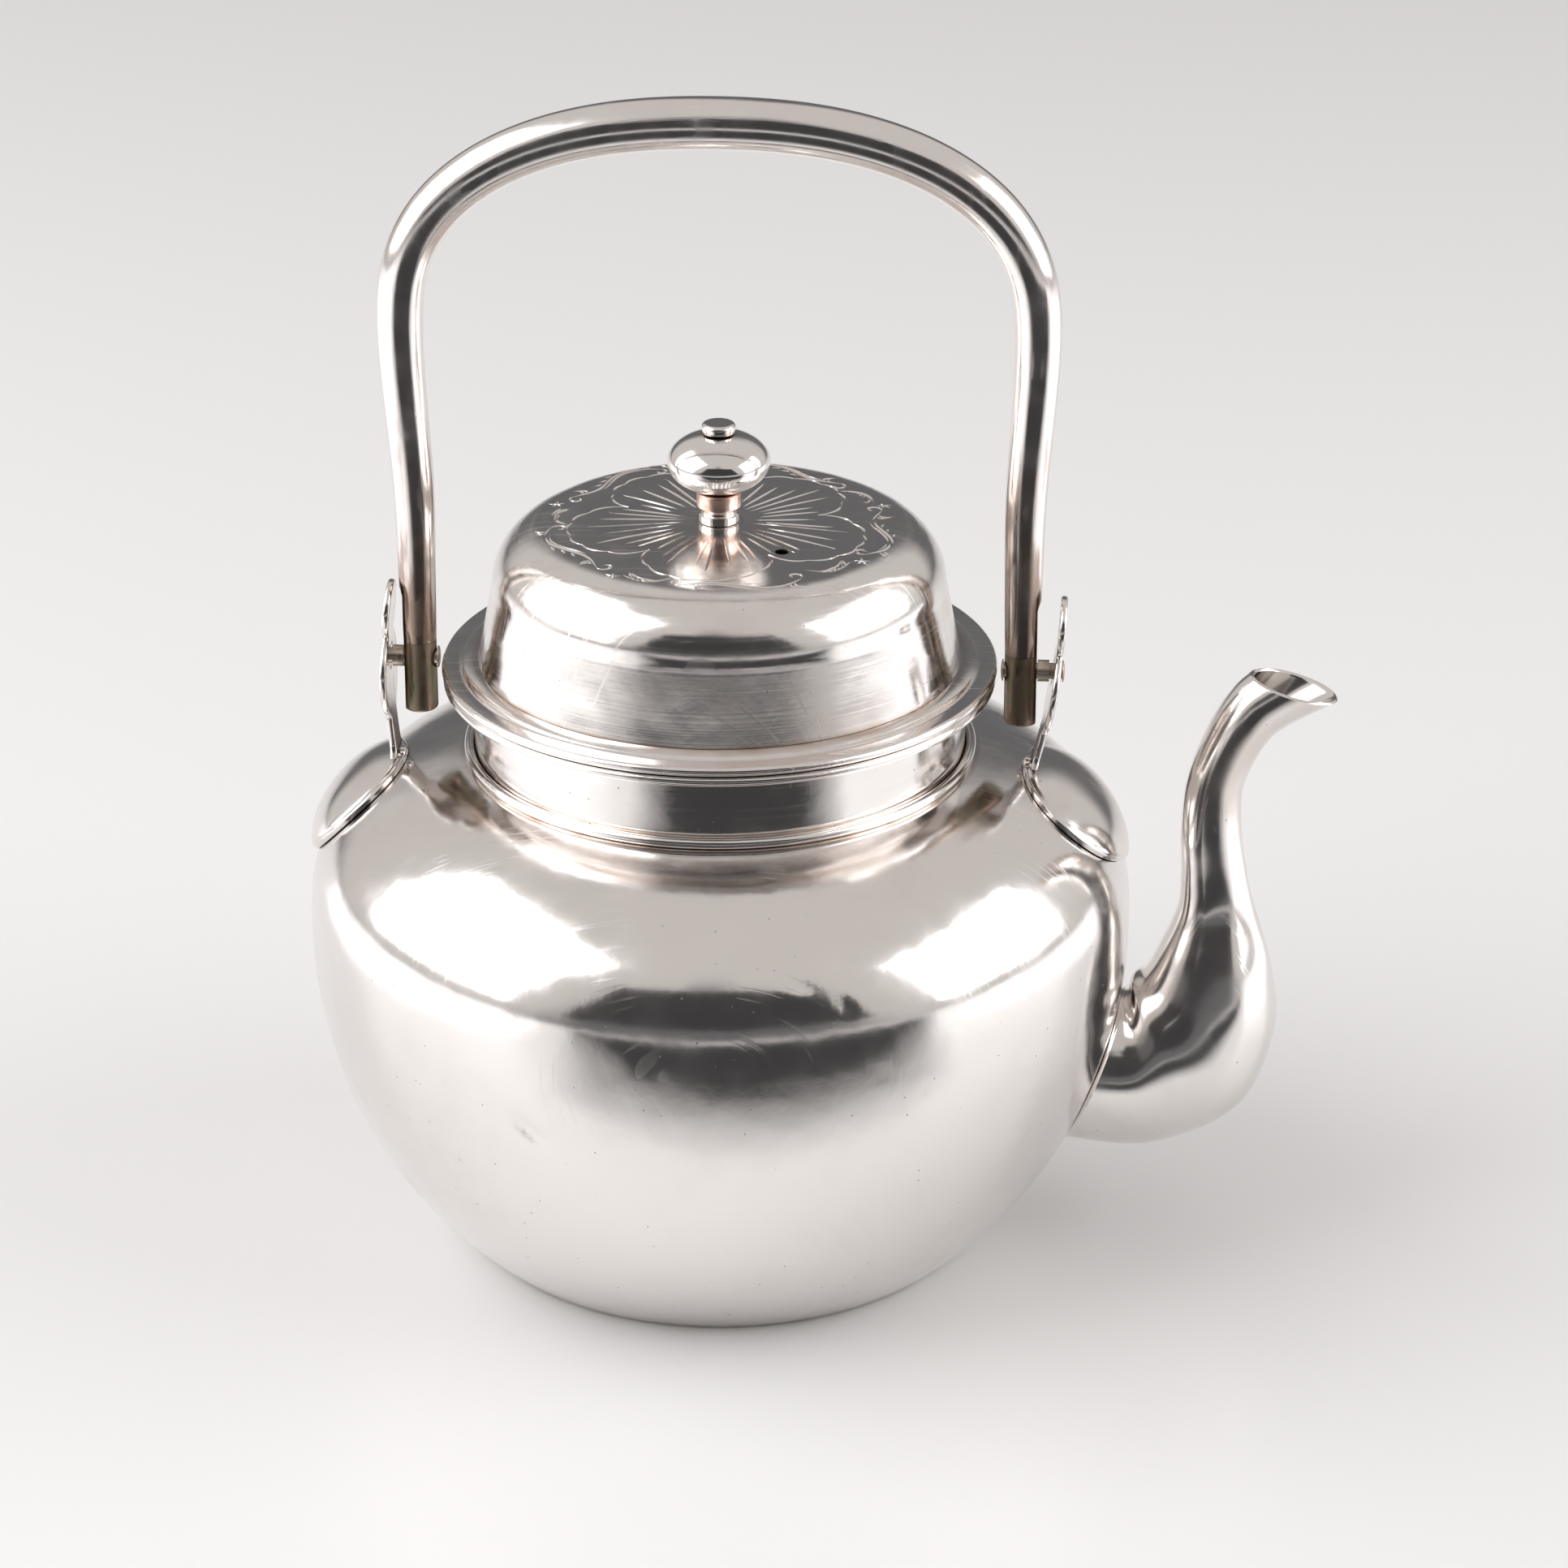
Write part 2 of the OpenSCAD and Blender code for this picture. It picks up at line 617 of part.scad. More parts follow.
// The solid end of a leg on the +X side, with its peg inside the tube and the pin's bore
module bail_end() {
    peg_r = leg_r - bail_wall - 2 * seam;
    color("darkkhaki")
        difference() {
            union() {
                translate([leg_x, 0, leg_end_z])
                    cylinder(r = leg_r, h = tube_end_z - seam - leg_end_z, $fn = small_fn);
                translate([leg_x, 0, leg_end_z])
                    cylinder(r = peg_r, h = tube_end_z + peg_len - leg_end_z, $fn = small_fn);
            }
            translate([leg_flat_x, -leg_r, leg_end_z - over])
                cube([leg_r, 2 * leg_r, tube_end_z - leg_end_z + over]);
            translate([leg_x - 2 * leg_r, 0, pin_z])
                rotate([0, 90, 0])
                    cylinder(r = pin_d / 2 + pin_play, h = 4 * leg_r, $fn = small_fn);
        }
}

module bail_end_right() bail_end();

module bail_end_left() mirror([1, 0, 0]) bail_end();

// ---- Lid ----

// Outside of the dome from the middle of its top down to its foot, inset for the inside
function dome_profile(inset) = let (
        shoulder_r = dome_r - dome_lean - dome_round,
        edge_z = dome_top_z - dome_crown,
        crown_r = (shoulder_r * shoulder_r + dome_crown * dome_crown) / (2 * dome_crown),
        crown_w = asin(shoulder_r / crown_r)
    )
    concat(
        arc(0, dome_top_z - crown_r, crown_r - inset, 90, 90 - crown_w, 6),
        arc(shoulder_r - dome_round * sin(crown_w), edge_z - dome_round * cos(crown_w),
            dome_round - inset, 90 - crown_w, 0, 12),
        [[dome_r - inset, dome_z]]
    );

module lid_dome() {
    inside = dome_profile(dome_wall);
    color("silver")
        difference() {
            rotate_extrude($fn = turned_fn)
                polygon(concat(dome_profile(0), [for (i = [len(inside) - 1:-1:0]) inside[i]]));
            rotate([0, 0, steam_hole_angle])
                translate([steam_hole_r, 0, dome_z])
                    cylinder(d = steam_hole_d, h = dome_h + over, $fn = small_fn);
            translate([0, 0, dome_z])
                cylinder(d = knob_rivet_d + 2 * seam, h = dome_h + over, $fn = small_fn);
        }
}

module lid_flange() {
    inner_r = dome_r - 2 * dome_wall;
    edge = flange_t / 2;
    top_z = flange_z + flange_t;
    // The flange rises to the dome in a shallow hollow and ends in a narrow land at its foot
    hollow_w = flange_w / 2 + seam;
    hollow_r = hollow_w / 2;
    land_w = dome_wall / 2;
    color("gainsboro")
        rotate_extrude($fn = turned_fn)
            polygon(concat(
                [[inner_r, flange_z]],
                arc(flange_r - edge, flange_z + edge, edge, -90, 80, 6),
                arc(dome_r + land_w + hollow_w, top_z + hollow_r, hollow_r, -90, -135, 4),
                [[dome_r + land_w, top_z + flange_rise], [inner_r, top_z + flange_rise]]
            ));
}

module lid_bezel() {
    outer_r = neck_r - neck_wall - bezel_play;
    color("lightgray")
        translate([0, 0, flange_z - seam - bezel_h])
            difference() {
                cylinder(r = outer_r, h = bezel_h, $fn = turned_fn);
                translate([0, 0, -over])
                    cylinder(r = outer_r - bezel_wall, h = bezel_h + 2 * over, $fn = turned_fn);
            }
}

// ---- Knob ----

washer_z = dome_top_z + seam;
sleeve_z = washer_z + knob_washer_h + seam;
ball_z = sleeve_z + knob_sleeve_h + seam;
button_z = ball_z + ball_h + seam;
rivet_hole_r = knob_rivet_d / 2 + seam;

module knob_washer() {
    // A groove turned into the washer's upper edge
    groove_r = knob_washer_h / 3;
    color("lightgray")
        rotate_extrude($fn = small_fn)
            difference() {
                translate([rivet_hole_r, washer_z])
                    square([knob_washer_d / 2 - rivet_hole_r, knob_washer_h]);
                translate([knob_washer_d / 2 + groove_r / 3, washer_z + knob_washer_h])
                    circle(r = groove_r, $fn = small_fn);
            }
}

module knob_sleeve() {
    groove_r = (knob_sleeve_d - knob_waist_d) / 2;
    color("peru")
        rotate_extrude($fn = small_fn)
            difference() {
                translate([rivet_hole_r, sleeve_z])
                    square([knob_sleeve_d / 2 - rivet_hole_r, knob_sleeve_h]);
                translate([knob_sleeve_d / 2, sleeve_z])
                    circle(r = groove_r, $fn = small_fn);
            }
}

module knob_ball() {
    steps = 20;
    start_w = asin(rivet_hole_r / (ball_d / 2));
    color("silver")
        rotate_extrude($fn = turned_fn)
            polygon([for (i = [0:steps]) let (w = -90 + start_w + (180 - 2 * start_w) * i / steps)
                [ball_d / 2 * cos(w), ball_z + ball_h / 2 + ball_h / 2 * sin(w)]]);
}

module knob_rivet() {
    tail_z = dome_top_z - dome_wall - seam - inner_washer_t - seam;
    // The peened tail spreads over the inner washer, and the button's edges are rounded
    tail_h = inner_washer_t;
    tail_r = knob_rivet_d * 0.7;
    edge = button_h * 0.3;
    color("silver")
        rotate_extrude($fn = small_fn)
            polygon(concat(
                [[0, tail_z - tail_h], [tail_r, tail_z - tail_h / 2], [tail_r, tail_z]],
                [[knob_rivet_d / 2, tail_z], [knob_rivet_d / 2, button_z], [button_d / 2 - edge / 2, button_z]],
                arc(button_d / 2 - edge, button_z + button_h - edge, edge, 0, 90, 4),
                [[0, button_z + button_h]]
            ));
}

module rivet_washer() {
    color("lightgray")
        translate([0, 0, dome_top_z - dome_wall - seam - inner_washer_t])
            difference() {
                cylinder(d = inner_washer_d, h = inner_washer_t, $fn = small_fn);
                translate([0, 0, -over])
                    cylinder(r = rivet_hole_r, h = inner_washer_t + 2 * over, $fn = small_fn);
            }
}

body_shell();
neck_collar();
neck_bead();
spout();
ear_foot_left();
ear_foot_right();
ear_left();
ear_right();
hinge_pin_left();
hinge_pin_right();
bail_tube();
bail_end_left();
bail_end_right();
lid_dome();
lid_flange();
lid_bezel();
knob_washer();
knob_sleeve();
knob_ball();
knob_rivet();
rivet_washer();
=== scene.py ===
import math

import bmesh
import bpy
import numpy as np
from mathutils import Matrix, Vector
from mathutils.geometry import delaunay_2d_cdt


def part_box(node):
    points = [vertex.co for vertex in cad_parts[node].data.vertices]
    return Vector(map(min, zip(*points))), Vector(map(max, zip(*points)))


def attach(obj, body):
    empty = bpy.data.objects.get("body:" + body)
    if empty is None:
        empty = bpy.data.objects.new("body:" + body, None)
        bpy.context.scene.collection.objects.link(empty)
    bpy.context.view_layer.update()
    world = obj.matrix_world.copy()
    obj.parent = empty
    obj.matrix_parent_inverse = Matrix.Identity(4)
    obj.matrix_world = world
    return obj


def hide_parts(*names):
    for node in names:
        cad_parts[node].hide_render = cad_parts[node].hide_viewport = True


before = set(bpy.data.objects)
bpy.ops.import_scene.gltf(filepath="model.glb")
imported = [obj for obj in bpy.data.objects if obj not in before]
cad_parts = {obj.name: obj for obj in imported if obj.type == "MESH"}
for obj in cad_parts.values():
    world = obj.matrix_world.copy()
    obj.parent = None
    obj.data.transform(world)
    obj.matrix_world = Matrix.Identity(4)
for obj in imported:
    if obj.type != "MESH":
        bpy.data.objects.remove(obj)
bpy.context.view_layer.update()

bl_info = {
    "name": "Silver teapot",
    "version": (1, 0, 0),
    "blender": (4, 5, 0),
    "location": "View3D > Sidebar > Teapot",
    "description": "Builds a small silver teapot with an engraved lid and a swinging bail handle",
    "category": "Object",
}

MM = 0.001
SEAM = 0.00005  # gap between neighbouring pieces
STROKE_REACH = 0.0004  # how far from its middle line a stroke is looked for
LEAF_SINK = 0.00007  # how much lower the leaves' tops lie than their sizes say
PLAY = 0.0001  # how much wider than the pins their bores are
PINS_Z = (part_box("hinge_pin_left")[0].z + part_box("hinge_pin_left")[1].z) / 2


# ---------------------------------------------------------------------------------------
# Sizes and colours
# ---------------------------------------------------------------------------------------

def length(label, about, default):
    """A length in metres."""
    return bpy.props.FloatProperty(
        name=label, description=about, default=default, min=0.0, precision=5,
        unit="LENGTH", subtype="DISTANCE")


def angle(label, about, degrees):
    """An angle, given in degrees and stored in radians."""
    return bpy.props.FloatProperty(
        name=label, description=about, default=math.radians(degrees), subtype="ANGLE", unit="ROTATION")


def number(label, about, default, low=0.0):
    """A plain number, such as a power or a share."""
    return bpy.props.FloatProperty(name=label, description=about, default=default, min=low)


def count(label, about, default):
    """A whole number of things or steps."""
    return bpy.props.IntProperty(name=label, description=about, default=default, min=1)


def colour(label, about, default):
    """A linear colour."""
    return bpy.props.FloatVectorProperty(
        name=label, description=about, default=default, size=3, min=0.0, max=1.0, subtype="COLOR")


class TEAPOT_PG_body(bpy.types.PropertyGroup):
    """Sizes of the raised body and its neck"""
    belly_d: length("Belly diameter", "Largest diameter of the raised body", 0.125)
    belly_z: length("Belly height", "Height of the widest line", 0.0514)
    base_d: length("Base diameter", "Diameter at the height of the flat base", 0.0772)
    base_round: length("Base round", "Radius between base and wall", 0.002)
    neck_z: length("Neck height", "Height at which the neck starts", 0.0792)
    shoulder_power: number("Shoulder fullness", "2 is an ellipse, higher is squarer", 2.8, 1.0)
    sheet: length("Sheet", "Thickness of the raised sheet", 0.001)
    ripple: length("Hammer ripple", "Depth of the soft unevenness that the hammer leaves", 0.00016)
    dent: length("Dent", "Depth of the dent in the front", 0.00050)
    neck_d: length("Neck diameter", "Outside diameter of the neck", 0.074)
    rim_z: length("Rim height", "Top of the turned-out rim", 0.0917)
    rim_w: length("Rim width", "Width by which the rim stands past the neck", 0.0045)
    rim_t: length("Rim thickness", "Thickness of the rim", 0.0015)
    rim_hollow: length("Rim hollow", "Radius of the hollow under the rim", 0.0016)
    bead_d: length("Seam wire", "Diameter of the wire round the neck's foot", 0.0016)
    strainer_hole_d: length("Strainer hole", "Diameter of the holes behind the spout", 0.0024)
    strainer_ring_r: length("Strainer ring", "Radius of the ring of strainer holes", 0.006)


class TEAPOT_PG_spout(bpy.types.PropertyGroup):
    """Sizes of the spout"""
    root_z: length("Root height", "Height of the middle of the root", 0.027)
    root_r: length("Root radius", "Radius of the root on the body", 0.0116)
    sheet: length("Sheet", "Thickness of the spout's sheet", 0.0008)
    sides: count("Sides", "Points round the spout", 88)
    steps: count("Steps", "Rings between two given sections", 9)


class TEAPOT_PG_ears(bpy.types.PropertyGroup):
    """Sizes of the ears, their domed feet and the hinge pins"""
    left_x: length("Left ear", "Distance of the left ear's foot from the axis", 0.0493)
    right_x: length("Right ear", "Distance of the right ear's foot from the axis", 0.0475)
    left_lean: angle("Left lean", "Outward lean of the left ear", 0.0)
    right_lean: angle("Right lean", "Outward lean of the right ear", 8.5)
    bow_r: length("Bow", "Radius to which the ears are bowed", 0.110)
    sheet: length("Sheet", "Thickness of the ears", 0.001)
    top_r: length("Upper lobe", "Radius of the upper lobe", 0.0046)
    lobe_r: length("Lower lobe", "Radius of the lower lobe", 0.0068)
    tip_z: length("Tip height", "Height of the ear's tip", 0.1044)
    waist_w: length("Waist", "Width of the ear's waist", 0.0052)
    overlap: length("Lobe overlap", "Overlap of the two lobes", 0.0014)
    foot_left_r: length("Left foot", "Half width of the domed leaf under the left ear", 0.0123)
    foot_right_r: length("Right foot", "Half width of the domed leaf under the right ear", 0.0140)
    foot_half_len: length("Foot half length", "Half length of the leaves before their point", 0.0091)
    foot_t: length("Foot edge", "Thickness of the leaf at its edge", 0.0009)
    foot_dome: length("Foot dome", "Height by which the leaf is domed", 0.0016)
    foot_tuck: length("Foot tuck", "Length of leaf inwards of the ear", 0.0015)
    pin_d: length("Pin", "Diameter of the hinge pins", 0.0024)
    pin_shoulder_d: length("Pin shoulder", "Diameter of the pins' shoulder between leg and ear", 0.0034)
    pin_head_d: length("Pin head", "Diameter of the pins' heads", 0.0034)
    pin_head_t: length("Pin head height", "Height of the pins' heads", 0.0004)


class TEAPOT_PG_bail(bpy.types.PropertyGroup):
    """Sizes of the bail handle"""
    leg_x: length("Leg distance", "Distance of the legs from the axis", 0.0453)
    wide_x: length("Half width", "Largest distance of the tube from the axis", 0.04685)
    wide_z: length("Widest height", "Height of the widest place", 0.146)
    top_z: length("Top height", "Height of the tube's middle at the top", 0.1764)
    arch_power: number("Arch fullness", "2 is an ellipse, higher is squarer", 2.3, 1.0)
    top_d: length("Top diameter", "Diameter of the tube in the arch", 0.0078)
    end_d: length("End diameter", "Diameter of the tube at its ends", 0.0052)
    taper_power: number("Taper", "How fast the tube thins towards its ends", 1.6, 0.5)
    wall: length("Wall", "Thickness of the tube's wall", 0.0007)
    tube_end_z: length("Tube end", "Height of the tube's lower ends", 0.0952)
    leg_end_z: length("Leg end", "Height of the lower ends of the solid end pieces", 0.084)
    straight_z: length("Straight to", "Height up to which the legs are straight", 0.114)
    flat_z: length("Flat height", "Height at which the flats end", 0.104)
    flat_depth: length("Flat depth", "Depth of the flat on each leg", 0.0004)
    sides: count("Sides", "Points round the tube", 64)


class TEAPOT_PG_lid(bpy.types.PropertyGroup):
    """Sizes of the lid and its knob"""
    flange_d: length("Flange diameter", "Diameter of the flange", 0.0834)
    flange_t: length("Flange thickness", "Thickness of the flange at its edge", 0.0014)
    flange_z: length("Flange height", "Height of the flange's underside", 0.0919)
    flange_rise: length("Flange rise", "Rise of the flange towards the dome", 0.0007)
    dome_d: length("Dome diameter", "Diameter at the dome's foot", 0.0724)
    dome_lean: length("Dome lean", "Distance by which the wall leans inwards", 0.0019)
    dome_z: length("Dome foot", "Height of the dome's foot", 0.09405)
    dome_h: length("Dome height", "Height of the dome above the flange", 0.0211)
    dome_round: length("Dome round", "Radius of the dome's shoulder", 0.009)
    crown: length("Crown", "Rise of the nearly flat top", 0.0005)
    sheet: length("Sheet", "Thickness of the dome's sheet", 0.0008)
    steam_d: length("Steam hole", "Diameter of the steam hole", 0.002)
    steam_r: length("Steam hole distance", "Distance of the steam hole from the axis", 0.0151)
    steam_angle: angle("Steam hole direction", "Direction of the steam hole", -48.5)
    rivet_d: length("Rivet", "Diameter of the rivet through the knob", 0.0024)
    washer_d: length("Washer diameter", "Diameter of the washer under the knob", 0.006)
    washer_h: length("Washer height", "Height of that washer", 0.0018)
    sleeve_d: length("Sleeve diameter", "Diameter of the sleeve", 0.0067)
    sleeve_h: length("Sleeve height", "Height of the sleeve", 0.0029)
    waist_d: length("Waist", "Diameter of the sleeve's waist", 0.0052)
    ball_d: length("Ball diameter", "Diameter of the flattened ball", 0.0154)
    ball_h: length("Ball height", "Height of the flattened ball", 0.0092)
    button_d: length("Button diameter", "Diameter of the rivet's head", 0.0051)
    button_h: length("Button height", "Height of the rivet's head", 0.0014)


class TEAPOT_PG_engraving(bpy.types.PropertyGroup):
    """Sizes of the lid's engraving"""
    petals: count("Petals", "Petals of the flower round the knob", 5)
    first_petal: angle("First petal", "Direction of the first petal's tip", -165.0)
    flower_r: length("Flower radius", "Radius of the petals' tips", 0.0224)
    notch_r: length("Notch radius", "Radius of the notches between the petals", 0.0150)
    rays: count("Rays", "Radial strokes round the knob", 40)
    ray_from: length("Rays from", "Inner end of the longest rays", 0.0056)
    scroll_r: length("Scroll radius", "Mean radius of the border of scrolls", 0.0248)
    line_w: length("Line width", "Width of an engraved line", 0.00055)
    depth: length("Depth", "Depth of an engraved line", 0.00018)
    disc_r: length("Worked disc", "Radius of the part of the dome that takes the engraving", 0.0290)
    seed: bpy.props.IntProperty(name="Seed", description="Picks the small differences between strokes", default=11)


class TEAPOT_PG_finish(bpy.types.PropertyGroup):
    """Colours of the metals"""
    silver: colour("Silver", "Clean polished silver", (0.86, 0.83, 0.81))
    # Tarnish and grime also colour the painted shade on the ears' broad faces.
    tarnish: colour("Tarnish", "Warm brown tarnish", (0.50, 0.37, 0.29))
    copper: colour("Copper", "Copper that shows through worn silver", (0.78, 0.44, 0.31))
    grime_and_shade: colour("Grime", "Dirt in seams and engraved lines", (0.050, 0.038, 0.030))
    verdigris: colour("Green tarnish", "Greenish tarnish on the handle's ends", (0.20, 0.20, 0.12))


class TEAPOT_PG_stage(bpy.types.PropertyGroup):
    """Floor, lights and camera"""
    floor_colour: colour("Floor", "Pale floor", (0.80, 0.80, 0.805))
    wall_colour: colour("Walls", "Light from the room's dim walls", (0.14, 0.138, 0.142))
    ceiling_colour: colour("Ceiling", "Light from the room's pale ceiling", (0.62, 0.59, 0.57))
    ceiling_from: number("Ceiling from", "Steepness at which the ceiling starts, 1 is straight up", 0.56)
    ceiling_to: number("Ceiling to", "Steepness at which the ceiling has its full brightness", 0.86)
    softbox_level: number("Softboxes", "Brightness of the two softboxes", 2.7)
    reflector_level: number("Reflectors", "Brightness of the cards on the floor at both sides", 1.5)
    dark_level: number("Dark cards", "Brightness of the dark cards in front", 0.05)
    camera_place: bpy.props.FloatVectorProperty(
        name="Camera", description="Place of the camera", default=(0.0541, -0.7196, 0.3955), size=3,
        subtype="TRANSLATION", unit="LENGTH")
    camera_down: angle("Camera tilt", "Angle by which the camera looks down", 24.122)
    camera_left: angle("Camera turn", "Angle by which the camera looks to the left", 3.535)
    lens: number("Lens", "Focal length in millimetres on a 36 mm sensor", 119.69, 10.0)


SETTINGS = {
    "teapot_body": TEAPOT_PG_body,
    "teapot_spout": TEAPOT_PG_spout,
    "teapot_ears": TEAPOT_PG_ears,
    "teapot_bail": TEAPOT_PG_bail,
    "teapot_lid": TEAPOT_PG_lid,
    "teapot_engraving": TEAPOT_PG_engraving,
    "teapot_finish": TEAPOT_PG_finish,
    "teapot_stage": TEAPOT_PG_stage,
}


# ---------------------------------------------------------------------------------------
# Shared curves
# ---------------------------------------------------------------------------------------

def quarter(half_width, share, power):
    """Radius of a superelliptic quarter curve at a share of its height."""
    return half_width * max(0.0, 1 - share ** power) ** (1 / power)


class BodyCurve:
    """The body's meridian, as the other pieces need it."""

    def __init__(self, body):
        self.r = body.belly_d / 2
        self.z = body.belly_z
        self.neck_r = body.neck_d / 2
        self.neck_z = body.neck_z
        self.power = body.shoulder_power
        self.low = self.z / math.sqrt(1 - (body.base_d / body.belly_d) ** 2)
        self.high = (self.neck_z - self.z) / quarter(1, self.neck_r / self.r, self.power)

    def radius(self, z, inset=0.0):
        """Outside radius at a height, less the sheet where inset is given."""
        if z < self.z:
            return quarter(self.r - inset, (self.z - z) / (self.low - inset), 2)
        return quarter(self.r - inset, (z - self.z) / (self.high - inset), self.power)

    def height(self, r):
        """Height of the shoulder at a radius."""
        return self.z + quarter(self.high, r / self.r, self.power)

    def shoulder_point(self, s, v, lift, foot_x):
        """Point at s along the meridian past an ear's foot and v across, raised by lift."""
        w = math.acos((foot_x / self.r) ** (self.power / 2)) - s / self.high
        above = w >= 0
        power, high = (self.power, self.high) if above else (2, self.low)
        turn = w if above else -w * self.high / self.low
        r = self.r * math.cos(turn) ** (2 / power)
        up = math.sin(turn) ** (2 / power)
        nr = (r / self.r) ** (power - 1) / self.r
        nz = up ** (power - 1) / high
        n = math.hypot(nr, nz)
        out = r + lift * nr / n
        side = 1 if above else -1
        return Vector((out * math.cos(v / r), out * math.sin(v / r), self.z + side * (high * up + lift * nz / n)))


def arc(cx, cy, r, start, end, steps):
    """Points on an arc, from one angle in degrees to another."""
    return [
        (cx + r * math.cos(math.radians(start + (end - start) * i / steps)),
         cy + r * math.sin(math.radians(start + (end - start) * i / steps)))
        for i in range(steps + 1)
    ]


def line(start, end, steps):
    """Points from start to end, both included."""
    return [tuple(a + (b - a) * i / steps for a, b in zip(start, end)) for i in range(steps + 1)]


def smooth(p0, p1, p2, p3, t):
    """Point on a smooth curve between p1 and p2."""
    return p1 + 0.5 * t * (p2 - p0 + t * (2 * p0 - 5 * p1 + 4 * p2 - p3 + t * (3 * (p1 - p2) + p3 - p0)))


class Ripple:
    """Soft unevenness of hand-worked sheet: a few long waves with fixed random phases."""

    def __init__(self, seed, depth, waves=9, turns=(2, 9), pitch=(60, 260)):
        draw = np.random.default_rng(seed)
        self.depth = depth
        self.turn = draw.integers(turns[0], turns[1], waves)
        self.pitch = draw.uniform(pitch[0], pitch[1], waves)
        self.phase = draw.uniform(0, math.tau, waves)
        self.share = draw.uniform(0.5, 1.0, waves)
        self.share /= self.share.sum()

    def __call__(self, a, z):
        """Inward displacement at the angle a and the height z."""
        wave = np.sin(self.turn * a + self.pitch * z + self.phase) * self.share
        return -self.depth * (0.5 + 0.5 * float(wave.sum()))


# ---------------------------------------------------------------------------------------
# Meshes
# ---------------------------------------------------------------------------------------

def ring_faces(first, second, n):
    """Faces between two closed rings of n points that start at these indices."""
    return [(first + j, first + (j + 1) % n, second + (j + 1) % n, second + j) for j in range(n)]


def turned(profile, sides, shape=None, closed=True):
    """A body of revolution about Z: points and faces of a profile of (radius, height) points.

    shape(a, r, z) may return another radius and height for a point at the angle a.
    A profile that isn't closed starts and ends on the axis."""
    verts, rings = [], []
    for r, z in profile:
        if r < 1e-9:
            rings.append((len(verts), 1))
            verts.append((0.0, 0.0, z))
            continue
        rings.append((len(verts), sides))
        for j in range(sides):
            a = math.tau * j / sides
            rr, zz = shape(a, r, z) if shape else (r, z)
            verts.append((rr * math.cos(a), rr * math.sin(a), zz))
    faces = []
    pairs = list(zip(rings, rings[1:])) + ([(rings[-1], rings[0])] if closed else [])
    for (a, na), (b, nb) in pairs:
        if na == 1 and nb == 1:
            continue
        if na == 1:
            faces += [(a, b + j, b + (j + 1) % nb) for j in range(nb)]
        elif nb == 1:
            faces += [(a + j, a + (j + 1) % na, b) for j in range(na)]
        else:
            faces += ring_faces(a, b, na)
    return verts, faces


def skinned(rings, closed=True):
    """Points and faces through rings of as many points each; closed joins the last ring to the first."""
    n = len(rings[0])
    verts = [tuple(p) for ring in rings for p in ring]
    faces = []
    for k in range(len(rings) - (0 if closed else 1)):
        faces += ring_faces(k * n, (k + 1) % len(rings) * n, n)
    return verts, faces


def joined(*parts):
    """Several (points, faces) pairs as one."""
    verts, faces = [], []
    for v, f in parts:
        start = len(verts)
        verts += v
        faces += [tuple(i + start for i in face) for face in f]
    return verts, faces


def new_object(name, verts, faces, sharp=32.0):
    """A closed mesh object with outward normals, smooth but for edges sharper than the given angle."""
    mesh = bpy.data.meshes.new(name)
    mesh.from_pydata([tuple(v) for v in verts], [], faces)
    obj = bpy.data.objects.new(name, mesh)
    bpy.context.scene.collection.objects.link(obj)
    outward(obj, merge=2e-7)
    soften(obj, sharp)
    return obj


def outward(obj, merge=0.0):
    """Makes the normals of a closed mesh point outwards, and joins points closer than the given distance."""
    bm = bmesh.new()
    bm.from_mesh(obj.data)
    if merge:
        bmesh.ops.remove_doubles(bm, verts=bm.verts, dist=merge)
    bmesh.ops.recalc_face_normals(bm, faces=bm.faces)
    bm.to_mesh(obj.data)
    bm.free()


def soften(obj, sharp=32.0):
    """Smooth shading with sharp edges past an angle."""
    obj.data.polygons.foreach_set("use_smooth", [True] * len(obj.data.polygons))
    obj.data.set_sharp_from_angle(angle=math.radians(sharp))


def sided(parts, sign):
    """Points and faces of a right-hand piece, mirrored in X where the sign is -1."""
    verts, faces = parts
    if sign > 0:
        return verts, faces
    return [(-x, y, z) for x, y, z in verts], [tuple(reversed(f)) for f in faces]


def store_dirt_and_shade(obj, rule):
    """Stores rule(x, y, z), from 0 to 1, on each point, for the dirt and the painted shade in the material."""
    co = np.zeros(len(obj.data.vertices) * 3)
    obj.data.vertices.foreach_get("co", co)
    co = co.reshape(-1, 3)
    layer = obj.data.attributes.new("crevice", "FLOAT", "POINT")
    layer.data.foreach_set("value", np.clip(rule(co[:, 0], co[:, 1], co[:, 2]), 0, 1).astype(np.float32))


def near(value, centre, width):
    """1 at the centre, falling to 0 over the width."""
    return np.exp(-((value - centre) / width) ** 2)


def baked(obj):
    """Turns the modified object into a plain mesh and removes its modifiers."""
    graph = bpy.context.evaluated_depsgraph_get()
    mesh = bpy.data.meshes.new_from_object(obj.evaluated_get(graph), depsgraph=graph)
    obj.modifiers.clear()
    old = obj.data
    obj.data = mesh
    bpy.data.meshes.remove(old)
    mesh.name = obj.name
    return obj


def settled(obj, material, body, slot, *nodes):
    """Gives a finished piece its material and body, and hides the CAD nodes that it stands for; the slot is not used.
    """
    obj.data.materials.clear()
    obj.data.materials.append(material)
    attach(obj, body)
    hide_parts(*nodes)
    return obj


def turned_piece(name, profile, sides, finish, shape=None, closed=True, sharp=32.0, dirt=None):
    """A finished body of revolution; finish is its material, body, slot and CAD node."""
    obj = new_object(name, *turned(profile, sides, shape, closed), sharp=sharp)
    if dirt:
        store_dirt_and_shade(obj, dirt)
    return settled(obj, *finish)


# ---------------------------------------------------------------------------------------
# Metals
# ---------------------------------------------------------------------------------------

